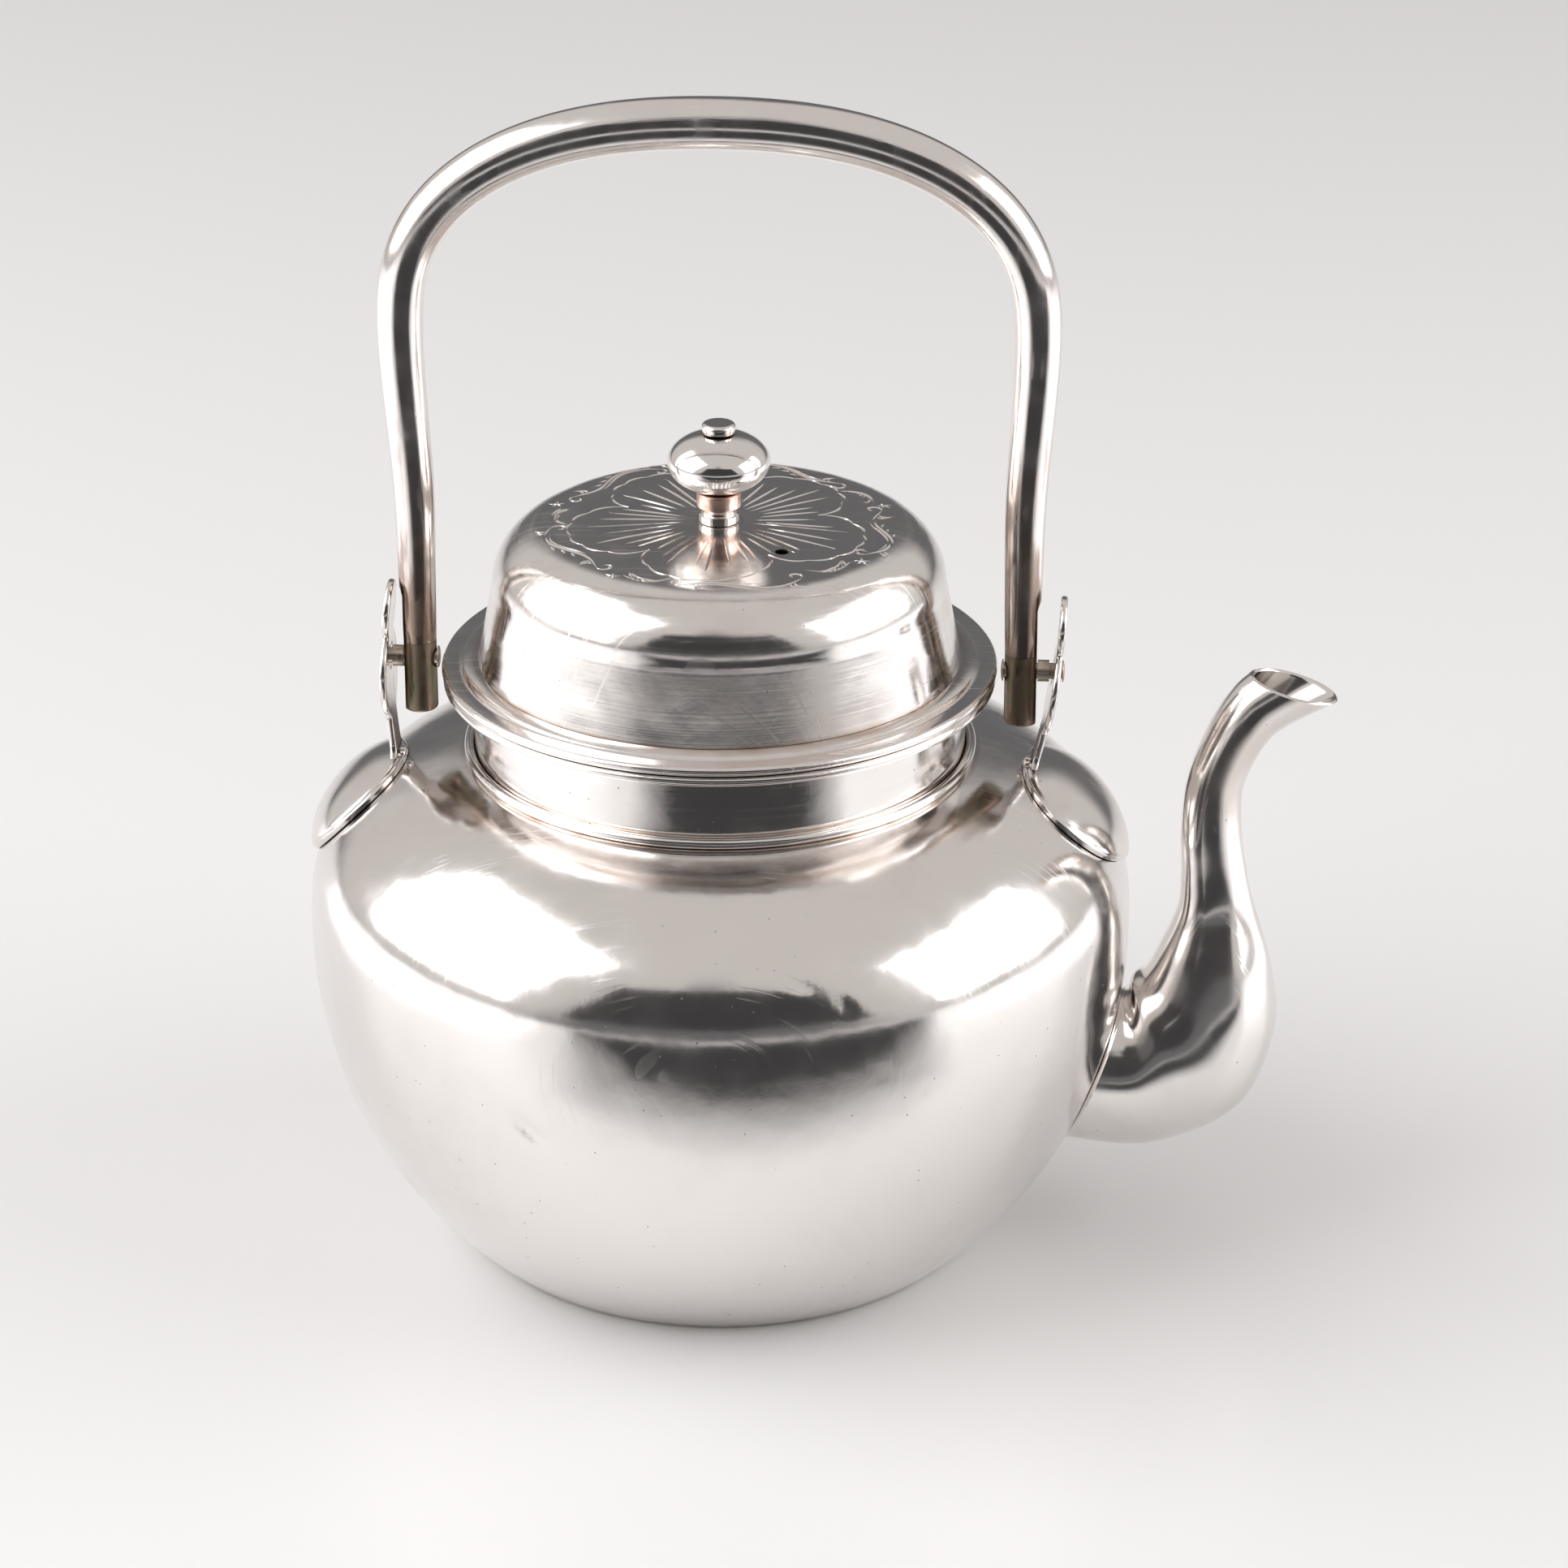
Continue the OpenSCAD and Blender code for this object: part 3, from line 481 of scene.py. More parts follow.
class Finish:
    """A procedural metal, built up layer by layer on the shader nodes."""

    def __init__(self, name, metal, rough):
        self.material = bpy.data.materials.new(name)
        self.material.use_nodes = True
        self.tree = self.material.node_tree
        self.shader = self.tree.nodes["Principled BSDF"]
        self.shader.inputs["Metallic"].default_value = 1.0
        self.shader.inputs["Specular IOR Level"].default_value = 0.5
        self.place = self.node("ShaderNodeTexCoord").outputs["Object"]
        self.colour = metal
        self.rough = rough
        self.normal = None

    def node(self, kind, _settings=None, **inputs):
        """A new node with its settings and inputs; an input may be a value or another node's output."""
        made = self.tree.nodes.new(kind)
        for key, value in (_settings or {}).items():
            setattr(made, key, value)
        for key, value in inputs.items():
            socket = made.inputs[int(key[1:])] if key[0] == "i" and key[1:].isdigit() else made.inputs[key]
            self.put(socket, value)
        return made

    def put(self, socket, value):
        """Sets a socket to a value or links it."""
        if isinstance(value, bpy.types.NodeSocket):
            self.tree.links.new(value, socket)
        elif hasattr(socket.default_value, "__len__") and len(value) == 3 and len(socket.default_value) == 4:
            socket.default_value = (*value, 1.0)
        else:
            socket.default_value = value

    def stretched(self, turn=(0, 0, 0), scale=(1, 1, 1)):
        """Object coordinates turned and stretched."""
        return self.node("ShaderNodeMapping", Vector=self.place, Rotation=turn, Scale=scale).outputs["Vector"]

    def noise(self, scale, detail=3.0, vector=None, rough=0.5):
        """Noise of so many cells in a metre."""
        made = self.node("ShaderNodeTexNoise", Scale=scale, Detail=detail, Roughness=rough,
                         Vector=vector or self.place)
        return made.outputs["Fac"]

    def band(self, value, low, high, start=0.0, end=1.0):
        """The value mapped from low..high to start..end and held there."""
        made = self.node("ShaderNodeMapRange", {"clamp": True, "interpolation_type": "SMOOTHSTEP"},
                         Value=value)
        for key, limit in (("From Min", low), ("From Max", high), ("To Min", start), ("To Max", end)):
            self.put(made.inputs[key], limit)
        return made.outputs["Result"]

    def maths(self, how, a, b):
        """One sum on two values."""
        return self.node("ShaderNodeMath", {"operation": how}, i0=a, i1=b).outputs[0]

    def times(self, a, b):
        """Two values multiplied."""
        return self.maths("MULTIPLY", a, b)

    def crevice(self):
        """The dirt and painted shade stored on the piece's points."""
        return self.node("ShaderNodeAttribute", {"attribute_name": "crevice"}).outputs["Fac"]

    def height(self):
        """Height above the table."""
        return self.node("ShaderNodeSeparateXYZ", Vector=self.place).outputs["Z"]

    def tint(self, share, colour_, strength=1.0):
        """Mixes a colour over the metal."""
        mix = self.node("ShaderNodeMix", {"data_type": "RGBA"},
                        i0=self.times(share, strength), i6=self.colour, i7=tuple(colour_))
        self.colour = mix.outputs[2]

    def dull(self, share, amount):
        """Adds a share of the amount to the roughness."""
        self.rough = self.maths("ADD", self.rough, self.times(share, amount))

    def relief(self, height, distance, strength=1.0):
        """Adds bumps of that height in metres."""
        bump = self.node("ShaderNodeBump", Strength=strength, Distance=distance, Height=height)
        if self.normal:
            self.put(bump.inputs["Normal"], self.normal)
        self.normal = bump.outputs["Normal"]

    def scratches(self, patch_scale, low, depth, turns):
        """Sparse fine scratches in several directions, in patches."""
        patch = self.band(self.noise(patch_scale, 2.0), low, low + 0.12)
        for k, turn in enumerate(turns):
            lines = self.noise(1.0, 1.0, self.stretched(
                (0.7 + k, turn, 0.4 * k), (45 + 20 * k, 2600, 90)))
            mark = self.times(self.band(lines, 0.66, 0.69), patch)
            self.relief(mark, -depth)
            self.dull(mark, 0.08)

    def done(self):
        """Joins the layers to the shader."""
        self.put(self.shader.inputs["Base Color"], self.colour)
        self.put(self.shader.inputs["Roughness"], self.rough)
        if self.normal:
            self.put(self.shader.inputs["Normal"], self.normal)
        return self.material


def worn_silver(name, colours, tarnish=0.4, rough=0.11, streaks=0.0, tarnish_low=0.47, scratch_low=0.5, wavy=1.0):
    """Polished silver: soft unevenness, haze, fine scratches, warm tarnish, and dirt in its crevices, which also
    carries the painted shade that a piece stores on its points.

    streaks adds the fine level lines that a lathe or a polishing wheel leaves, wavy scales the unevenness."""
    made = Finish(name, tuple(colours.silver), rough)
    broad = made.noise(34, 3.0)
    middle = made.noise(150, 4.0)
    fine = made.noise(1500, 3.0)

    def crept(uneven):
        """The stored dirt and painted shade, with an uneven border."""
        return made.maths("ADD", made.crevice(), made.times(made.maths("SUBTRACT", middle, 0.5), uneven))

    made.dull(made.band(middle, 0.35, 0.75), 0.07)
    cloud = made.band(made.maths("ADD", made.times(broad, 0.6), made.times(middle, 0.4)),
                      tarnish_low, tarnish_low + 0.22)
    made.tint(cloud, colours.tarnish, 0.30 * tarnish)
    # Tarnish, then grime, follow the stored values: real dirt in seams and engraved lines, and on the ears' broad faces
    # painted shade.
    made.tint(made.band(crept(0.7), 0.15, 0.9), colours.tarnish, 0.65)
    deep = made.band(crept(0.4), 0.62, 1.0)
    made.tint(deep, colours.grime_and_shade)
    made.dull(deep, 0.35)
    spots = made.node("ShaderNodeTexVoronoi", {"feature": "F1"}, Scale=520, Vector=made.place)
    speck = made.times(made.band(spots.outputs["Distance"], 0.10, 0.04), made.band(spots.outputs["Color"], 0.60, 0.66))
    made.tint(speck, colours.grime_and_shade, 0.55)
    made.dull(speck, 0.3)
    made.relief(broad, 0.00055 * wavy, 0.8)
    made.relief(middle, 0.00006 * wavy, 0.8)
    made.relief(fine, 0.0000012, 0.8)
    if streaks:
        wheel = made.noise(1.0, 3.0, made.stretched(scale=(14, 14, 2600)))
        made.relief(wheel, 0.000006 * streaks)
        made.dull(made.band(wheel, 0.4, 0.8), 0.08 * streaks)
    made.scratches(70, scratch_low, 0.000003, (0.5, 1.9, 2.7))
    return made.done()


def handle_silver(name, colours):
    """Silver of the bail: polished in the arch, with brown copper-coloured wear down the legs."""
    made = Finish(name, tuple(colours.silver), 0.12)
    broad = made.noise(60, 3.0)
    middle = made.noise(210, 4.0)
    long_wear = made.noise(1.0, 3.0, made.stretched(scale=(420, 420, 55)))
    low_down = made.band(made.height(), 0.150, 0.096)
    wear = made.band(made.maths("ADD", long_wear, made.times(low_down, 0.22)), 0.60, 0.74)
    brown = tuple(0.62 * c for c in colours.tarnish)
    made.tint(low_down, colours.tarnish, 0.35)
    made.tint(made.times(wear, low_down), brown, 0.9)
    made.tint(made.band(made.height(), 0.108, 0.0955), brown, 0.6)
    made.tint(made.band(broad, 0.5, 0.75), colours.copper, 0.16)
    made.dull(made.band(middle, 0.35, 0.75), 0.09)
    made.dull(wear, 0.08)
    made.relief(broad, 0.00010, 0.8)
    made.relief(middle, 0.000022, 0.8)
    made.relief(long_wear, 0.000012, 0.6)
    made.scratches(90, 0.45, 0.000003, (0.2, 1.2, 2.3))
    return made.done()


def base_metal(name, metal, tarnish, rough, share):
    """Bare or tarnished metal with cloudy colour, for the pins, the sleeve and the handle's ends."""
    made = Finish(name, metal, rough)
    cloud = made.noise(330, 4.0)
    streak = made.noise(1.0, 3.0, made.stretched(scale=(700, 700, 160)))
    made.tint(made.band(cloud, 0.40, 0.66), tarnish, share)
    made.tint(made.band(streak, 0.55, 0.72), tuple(0.35 * c for c in tarnish), share * 0.8)
    made.dull(made.band(cloud, 0.3, 0.7), 0.16)
    made.relief(cloud, 0.00003, 0.7)
    made.relief(streak, 0.00001, 0.7)
    return made.done()


def plain_paint(name, colour_, rough):
    """Studio paper for the floor."""
    material = bpy.data.materials.new(name)
    material.use_nodes = True
    shader = material.node_tree.nodes["Principled BSDF"]
    shader.inputs["Base Color"].default_value = (*colour_, 1.0)
    shader.inputs["Roughness"].default_value = rough
    shader.inputs["Specular IOR Level"].default_value = 0.3
    return material


# ---------------------------------------------------------------------------------------
# Pot
# ---------------------------------------------------------------------------------------

def body_profile(curve, body):
    """Closed profile of the shell, outside first."""
    slope = math.degrees(math.atan(curve.z / curve.low ** 2 / (body.base_d / 2 / curve.r ** 2)))
    corner_z = body.base_round * (1 - math.sin(math.radians(slope)))
    cos_slope = math.cos(math.radians(slope))
    sheet = body.sheet

    def wall(inset, low_z, top_z, rows):
        heights = line((low_z,), (curve.z,), rows)
        end = math.asin(((top_z - curve.z) / (curve.high - inset)) ** (curve.power / 2))
        for i in range(1, rows + 1):
            heights.append((curve.z + (curve.high - inset) * math.sin(end * math.sin(math.pi / 2 * i / rows))
                            ** (2 / curve.power),))
        return [(curve.radius(z, inset), z) for (z,) in heights]

    floor_r = curve.radius(corner_z) - body.base_round * cos_slope
    inner_r = curve.radius(corner_z + sheet, sheet) - body.base_round * cos_slope
    hole_r = curve.neck_r - sheet
    inside = wall(sheet, sheet + corner_z, curve.neck_z - sheet, 26)
    return (
        line((0.0, 0.0), (floor_r, 0.0), 6)[:-1]
        + arc(floor_r, body.base_round, body.base_round, -90, -slope, 8)
        + wall(0.0, corner_z, curve.neck_z, 84)[1:]
        + [(hole_r, curve.neck_z), (hole_r, curve.neck_z - sheet)]
        + inside[::-1]
        + arc(inner_r, body.base_round + sheet, body.base_round, -slope, -90, 4)[1:]
        + [(0.0, sheet)]
    )


def new_tree(name, **sockets):
    """An empty Geometry Nodes tree with named inputs, each given as the end of its socket type's name."""
    tree = bpy.data.node_groups.new(name, "GeometryNodeTree")
    tree.interface.new_socket("Geometry", in_out="INPUT", socket_type="NodeSocketGeometry")
    for label, kind in (*sockets.items(), ("Material", "Material")):
        tree.interface.new_socket(label.replace("_", " "), in_out="INPUT", socket_type="NodeSocket" + kind)
    tree.interface.new_socket("Geometry", in_out="OUTPUT", socket_type="NodeSocketGeometry")
    return tree, tree.nodes.new


def join_up(tree, *pairs):
    """Links outputs to inputs in a node tree."""
    for source, target in pairs:
        tree.links.new(source, target)


def close_tree(tree, geometry, given):
    """Ends a tree: makes the instances real and sets the material."""
    real, paint, result = (tree.nodes.new(kind) for kind in (
        "GeometryNodeRealizeInstances", "GeometryNodeSetMaterial", "NodeGroupOutput"))
    join_up(tree, (geometry, real.inputs[0]), (real.outputs[0], paint.inputs["Geometry"]),
            (given.outputs["Material"], paint.inputs["Material"]), (paint.outputs[0], result.inputs[0]))
    return tree


def drill_tree():
    """Geometry Nodes: drills a hole along X, with or without a ring of holes round it."""
    tree, new = new_tree("drilled_along_x", Hole_diameter="Float", Depth="Float", Distance="Float", Height="Float",
                         Ring="Bool", Ring_radius="Float", Holes_in_ring="Int")
    given, chosen, radius, place = (new(kind) for kind in (
        "NodeGroupInput", "GeometryNodeSwitch", "ShaderNodeMath", "ShaderNodeCombineXYZ"))
    circle, middle, spots, drill, each, turn, cut = (new("GeometryNode" + kind) for kind in (
        "MeshCircle", "MeshLine", "JoinGeometry", "MeshCylinder", "InstanceOnPoints", "Transform", "MeshBoolean"))
    middle.inputs["Count"].default_value = 1
    radius.operation = "MULTIPLY"
    radius.inputs[1].default_value = 0.5
    drill.inputs["Vertices"].default_value = 32
    turn.inputs["Rotation"].default_value = (0.0, math.pi / 2, 0.0)
    cut.operation = "DIFFERENCE"
    cut.solver = "MANIFOLD"
    told = given.outputs
    join_up(tree, (told["Holes in ring"], circle.inputs["Vertices"]), (told["Ring radius"], circle.inputs["Radius"]),
            (told["Ring"], chosen.inputs["Switch"]), (circle.outputs[0], chosen.inputs["True"]),
            (chosen.outputs[0], spots.inputs[0]), (middle.outputs[0], spots.inputs[0]),
            (told["Hole diameter"], radius.inputs[0]), (radius.outputs[0], drill.inputs["Radius"]),
            (told["Depth"], drill.inputs["Depth"]), (spots.outputs[0], each.inputs["Points"]),
            (drill.outputs["Mesh"], each.inputs["Instance"]), (each.outputs[0], turn.inputs["Geometry"]),
            (told["Distance"], place.inputs["X"]), (told["Height"], place.inputs["Z"]),
            (place.outputs[0], turn.inputs["Translation"]), (told["Geometry"], cut.inputs["Mesh 1"]),
            (turn.outputs[0], cut.inputs["Mesh 2"]))
    return close_tree(tree, cut.outputs[0], given)


def run_nodes(obj, tree, **values):
    """Puts a node tree on an object with its inputs set by identifier, and bakes it."""
    modifier = obj.modifiers.new(tree.name, "NODES")
    modifier.node_group = tree
    names = {item.name: item.identifier for item in tree.interface.items_tree if item.in_out == "INPUT"}
    for label, value in values.items():
        modifier[names[label.replace("_", " ")]] = value
    return baked(obj)


# Dents in millimetres: centre, half length and half width, then tilt and share of the full depth
DENTS = [
    ((-23.3, -57.3, 41.9), 3.0, 1.1, 0.9, 1.0), ((-24.8, -56.7, 43.2), 1.8, 0.9, 0.2, 0.5),
    ((15.9, -56.9, 66.8), 2.2, 0.8, 1.1, 0.28), ((21.7, -56.7, 63.7), 1.6, 0.7, 0.6, 0.25),
    ((27.5, -56.1, 53.2), 2.4, 0.7, 1.0, 0.16),
]


class TEAPOT_OT_body(bpy.types.Operator):
    """Raise the body: hammered sheet with a dent, pierced behind the spout"""
    bl_idname = "teapot.body"
    bl_label = "Body"

    def execute(self, context):
        body, colours = context.scene.teapot_body, context.scene.teapot_finish
        curve = BodyCurve(body)
        ripple = Ripple(3, body.ripple, waves=11, turns=(3, 13), pitch=(40, 200))
        spots = [(Vector(centre) * MM, long_r * MM, wide_r * MM, tilt, share)
                 for centre, long_r, wide_r, tilt, share in DENTS]
        low_z, high_z, skin, near_dent = 0.004, curve.neck_z - 0.002, 0.0004, 0.012

        def shape(a, r, z):
            if not low_z < z < high_z or r < curve.radius(z) - skin:
                return r, z
            fade = min(1.0, (z - low_z) / 0.01, (high_z - z) / 0.006)
            push = ripple(a, z) * fade
            here = Vector((r * math.cos(a), r * math.sin(a), z))
            for centre, long_r, wide_r, tilt, share in spots:
                gap = here - centre
                if gap.length < near_dent:
                    across = gap.x * math.cos(tilt) + gap.z * math.sin(tilt)
                    along = -gap.x * math.sin(tilt) + gap.z * math.cos(tilt)
                    push -= body.dent * share * math.exp(-(along / long_r) ** 2 - (across / wide_r) ** 2)
            return r + push, z

        verts, faces = turned(body_profile(curve, body), 352, shape, closed=False)
        obj = new_object("body_raised", verts, faces)
        material = worn_silver("pot silver", colours, tarnish=0.35, rough=0.12, tarnish_low=0.50)
        run_nodes(obj, drill_tree(), Hole_diameter=body.strainer_hole_d, Depth=0.016, Ring=True,
                  Ring_radius=body.strainer_ring_r, Height=context.scene.teapot_spout.root_z,
                  Distance=curve.r - 0.003, Holes_in_ring=6, Material=material)
        soften(obj)
        # The stored values darken the seam round the neck's foot, the bottom edge where the body stands on the floor,
        # and the ring round the spout's root.
        store_dirt_and_shade(obj, lambda x, y, z: 0.55 * near(np.hypot(x, y), curve.neck_r + 0.0017, 0.0007) * (z > curve.z)
               + 0.6 * near(z, 0.0, 0.0012)
               + 0.5 * near(np.hypot(y, z - 0.027) - 0.0119, 0, 0.0008) * (x > 0.04))
        settled(obj, material, "pot", "pot_silver", "body_shell")
        return {"FINISHED"}


class TEAPOT_OT_neck(bpy.types.Operator):
    """Turn the neck with its rim, and lay the wire round its foot"""
    bl_idname = "teapot.neck"
    bl_label = "Neck and seam wire"

    def execute(self, context):
        body, colours = context.scene.teapot_body, context.scene.teapot_finish
        curve = BodyCurve(body)
        r, inner_r = curve.neck_r, curve.neck_r - body.sheet
        edge, hollow = body.rim_t / 2, body.rim_hollow
        wall_top = body.rim_z - body.rim_t - hollow
        profile = (
            line((inner_r, curve.neck_z + SEAM), (r, curve.neck_z + SEAM), 1)
            + arc(r + hollow, wall_top, hollow, 180, 90, 10)
            + arc(r + body.rim_w - edge, body.rim_z - edge, edge, -90, 90, 14)
            + arc(inner_r + edge, body.rim_z - edge, edge, 90, 180, 8)
        )
        profile = profile[:2] + line(profile[1], profile[2], 14)[1:-1] + profile[2:]
        ripple = Ripple(21, 0.00008, turns=(2, 7), pitch=(30, 90))
        material = worn_silver("neck silver", colours, tarnish=0.6, rough=0.10, streaks=0.7)

        def shape(a, rr, z):
            return rr + ripple(a, z), z

        turned_piece("neck_collar_turned", profile, 288, (material, "pot", "neck_silver", "neck_collar"), shape,
                     dirt=lambda x, y, z: 0.6 * near(z, curve.neck_z + 0.0008, 0.0008)
                     + 0.45 * near(z, wall_top + hollow, 0.0007) * (np.hypot(x, y) < r + 0.0026))
        wire_r = body.bead_d / 2
        ring_r = r + SEAM + wire_r
        ring_z = curve.height(ring_r)
        turned_piece("neck_seam_wire", arc(ring_r, ring_z + SEAM + wire_r, wire_r, 0, 360, 20)[:-1], 288,
                     (material, "pot", "neck_silver", "neck_bead"), lambda a, rr, z: (rr + 0.4 * ripple(a, z), z),
                     dirt=lambda x, y, z: 0.7 * near(np.hypot(x, y), r, 0.0004) + 0.6 * near(z, ring_z, 0.0003))
        return {"FINISHED"}


# Sections of the spout in millimetres from above its root to its mouth:
# x past the widest line, height, direction of the bore, half width in XZ, half width across
SPOUT_SECTIONS = [
    (2.0, 26.9, 10, 12.3, 12.2), (9.1, 31.4, 40, 13.1, 12.2), (12.6, 38.3, 65, 11.1, 10.8),
    (13.3, 46.0, 79, 8.7, 8.7), (13.0, 54.0, 92, 5.9, 6.0), (12.5, 60.0, 94, 5.0, 5.0),
    (11.9, 67.0, 91, 4.6, 4.6), (12.1, 73.8, 82, 4.3, 4.3), (13.5, 78.9, 68, 4.3, 4.3),
    (15.8, 83.9, 55, 4.5, 4.5), (18.5, 87.4, 52, 4.9, 4.7), (23.4, 90.7, 74.8, 6.87, 5.3),
]


class TEAPOT_OT_spout(bpy.types.Operator):
    """Form the hollow swan-neck spout and solder its root to the body"""
    bl_idname = "teapot.spout"
    bl_label = "Spout"

    def execute(self, context):
        spout, colours = context.scene.teapot_spout, context.scene.teapot_finish
        curve = BodyCurve(context.scene.teapot_body)
        n = spout.sides

        def section(row, inset):
            x, z, way, high, wide = row
            x, z, high, wide = curve.r + x * MM, z * MM, high * MM - inset, wide * MM - inset
            way = math.radians(way)
            return np.array([(x - high * math.cos(w) * math.sin(way), -wide * math.sin(w),
                              z + high * math.cos(w) * math.cos(way))
                             for w in (math.tau * j / n for j in range(n))])

        def root(inset, lift=SEAM):
            points = []
            for j in range(n):
                w = math.tau * j / n
                y, z = -(spout.root_r - inset) * math.sin(w), spout.root_z + (spout.root_r - inset) * math.cos(w)
                points.append((math.sqrt(curve.radius(z) ** 2 - y * y) + lift, y, z))
            return np.array(points)

        def skin(inset):
            given = [root(inset)] + [section(row, inset) for row in SPOUT_SECTIONS]
            last = len(given) - 1
            rings = [smooth(given[max(0, k - 1)], given[k], given[k + 1], given[min(last, k + 2)], i / spout.steps)
                     for k in range(last) for i in range(spout.steps)]
            return rings + [given[last]]

        outer, inner = skin(0.0), skin(spout.sheet)
        lip = [outer[-1] + (inner[-1] - outer[-1]) * s + np.array((0.00012, 0, 0.00022)) * math.sin(math.pi * s)
               for s in (0.15, 0.5, 0.85)]
        fillet = [root(-0.0009, 0.00003), root(-0.00045, 0.00022), root(-0.0001, 0.0006)]
        obj = new_object("spout_swan_neck", *skinned(fillet + outer[1:] + lip + inner[::-1]), sharp=40)

        def dirt(x, y, z):
            skin = np.array([curve.radius(min(v, curve.neck_z - 0.001)) for v in z])
            joint = near(np.hypot(x, y) - skin, 0, 0.0007) * (z < 0.045)
            crotch = near(np.hypot(x - 0.0680, z - 0.0415), 0, 0.0050) * near(y, 0, 0.007)
            return 0.5 * joint + 0.45 * crotch + 0.35 * near(x, 0.0866, 0.005) * near(z, 0.0848, 0.0022)

        store_dirt_and_shade(obj, dirt)
        settled(obj, worn_silver("spout silver", colours, tarnish=0.8, rough=0.115, tarnish_low=0.45, wavy=0.5),
                "pot", "spout_silver", "spout")
        return {"FINISHED"}


# ---------------------------------------------------------------------------------------
# Ears, their feet and the pins
# ---------------------------------------------------------------------------------------

def inset_outline(points, depth):
    """A closed outline of (u, v) points moved inwards by the depth."""
    n = len(points)
    moved = []
    for k, p in enumerate(points):
        along = Vector(points[(k + 1) % n]) - Vector(points[k - 1])
        along.normalize()
        moved.append((p[0] - along.y * depth, p[1] + along.x * depth))
    return moved


def plate(outline, hole, edge, half_t, place, grid):
    """Sheet cut to an anticlockwise outline with one hole; place(u, v, lift) bends it into space."""
    flat = inset_outline(outline, edge)
    n, m = len(flat), len(hole)
    us, vs = [p[0] for p in flat], [p[1] for p in flat]
    inner = [Vector((u, v)) for u in np.arange(min(us), max(us), grid) for v in np.arange(min(vs), max(vs), grid)]
    coords = [Vector(p) for p in flat] + [Vector(p) for p in hole]
    edges = [(k, (k + 1) % n) for k in range(n)] + [(n + k, n + (k + 1) % m) for k in range(m)]
    cells = delaunay_2d_cdt(coords + inner, edges, [], 2, 1e-9)
    points, faces = cells[0], cells[2]
    verts, all_faces = [], []
    for lift in (half_t, -half_t):
        start = len(verts)
        verts += [place(p.x, p.y, lift) for p in points]
        all_faces += [tuple(i + start for i in (f if lift > 0 else reversed(f))) for f in faces]
    rim = []
    for k in range(9):
        w = math.pi / 2 - math.pi * k / 8
        rim.append([place(u, v, half_t * math.sin(w)) for u, v in inset_outline(outline, edge * (1 - math.cos(w)))])
    bore = [[place(u, v, lift) for u, v in hole] for lift in (half_t, -half_t)]
    return joined((verts, all_faces), skinned(rim, closed=False), skinned(bore, closed=False))


def ear_outline(ears, foot_z):
    """Outline of an ear: two lobes on a short waist, with soft corners between them."""
    lobe_z = ears.tip_z - 2 * ears.top_r - ears.lobe_r + ears.overlap
    top_z = ears.tip_z - ears.top_r

    def half_width(z):
        lobe = math.sqrt(max(0.0, ears.lobe_r ** 2 - (z - lobe_z) ** 2))
        top = math.sqrt(max(0.0, ears.top_r ** 2 - (z - top_z) ** 2))
        waist = ears.waist_w / 2 * (z < lobe_z) + 0.0009 * math.exp(-((z - foot_z) / 0.0009) ** 2)
        power = 14
        return (lobe ** power + top ** power + waist ** power) ** (1 / power)

    steps = 84
    heights = [foot_z + (ears.tip_z - foot_z) * math.sin(math.pi / 2 * k / steps) ** 0.9 for k in range(steps + 1)]
    heights = sorted(set(heights + [z for (z,) in line((lobe_z + 0.0047,), (lobe_z + 0.0072,), 10)]))
    side = [(half_width(z), z) for z in heights[:-1]]
    return side + [(0.0, ears.tip_z)] + [(-u, z) for u, z in reversed(side)]


def ear_foot_z(curve, ears, foot_x):
    """Height at which an ear stands on its leaf."""
    share = (ears.foot_half_len - ears.foot_tuck + ears.sheet) / ears.foot_half_len
    return curve.shoulder_point(-ears.sheet, 0, leaf_lift(ears, share), foot_x).z + SEAM


def leaf_lift(ears, q):
    """Height of the leaf's outside above the body at the share q of the way to its edge."""
    return 0.0001 + ears.foot_t + ears.foot_dome * (1 - q ** 3)


def ear_mesh(curve, ears, foot_x, lean, pin_d, seed):
    """An ear on the +X side: bowed, leaned outwards and slightly uneven."""
    foot_z = ear_foot_z(curve, ears, foot_x)
    half = (ears.tip_z - foot_z) / 2
    sag = math.sqrt(ears.bow_r ** 2 - half * half)
    ripple = Ripple(seed, 0.00007, turns=(1, 4), pitch=(150, 420))

    def place(u, z, lift):
        r = ears.bow_r + lift
        up = z - foot_z - half
        x = r * math.cos(math.asin(up / ears.bow_r)) - sag
        z = half + r * up / ears.bow_r
        x += 0.6 * ripple(u * 40, z)
        return (foot_x + x * math.cos(lean) + z * math.sin(lean), u, foot_z + z * math.cos(lean) - x * math.sin(lean))

    outline = ear_outline(ears, foot_z)
    centre_z = foot_z + (PINS_Z - foot_z) / math.cos(lean)
    hole = arc(0, centre_z, pin_d / 2, 0, 360, 32)[:-1]
    return plate(outline, hole, edge=0.00032, half_t=ears.sheet / 2, place=place, grid=0.0006)


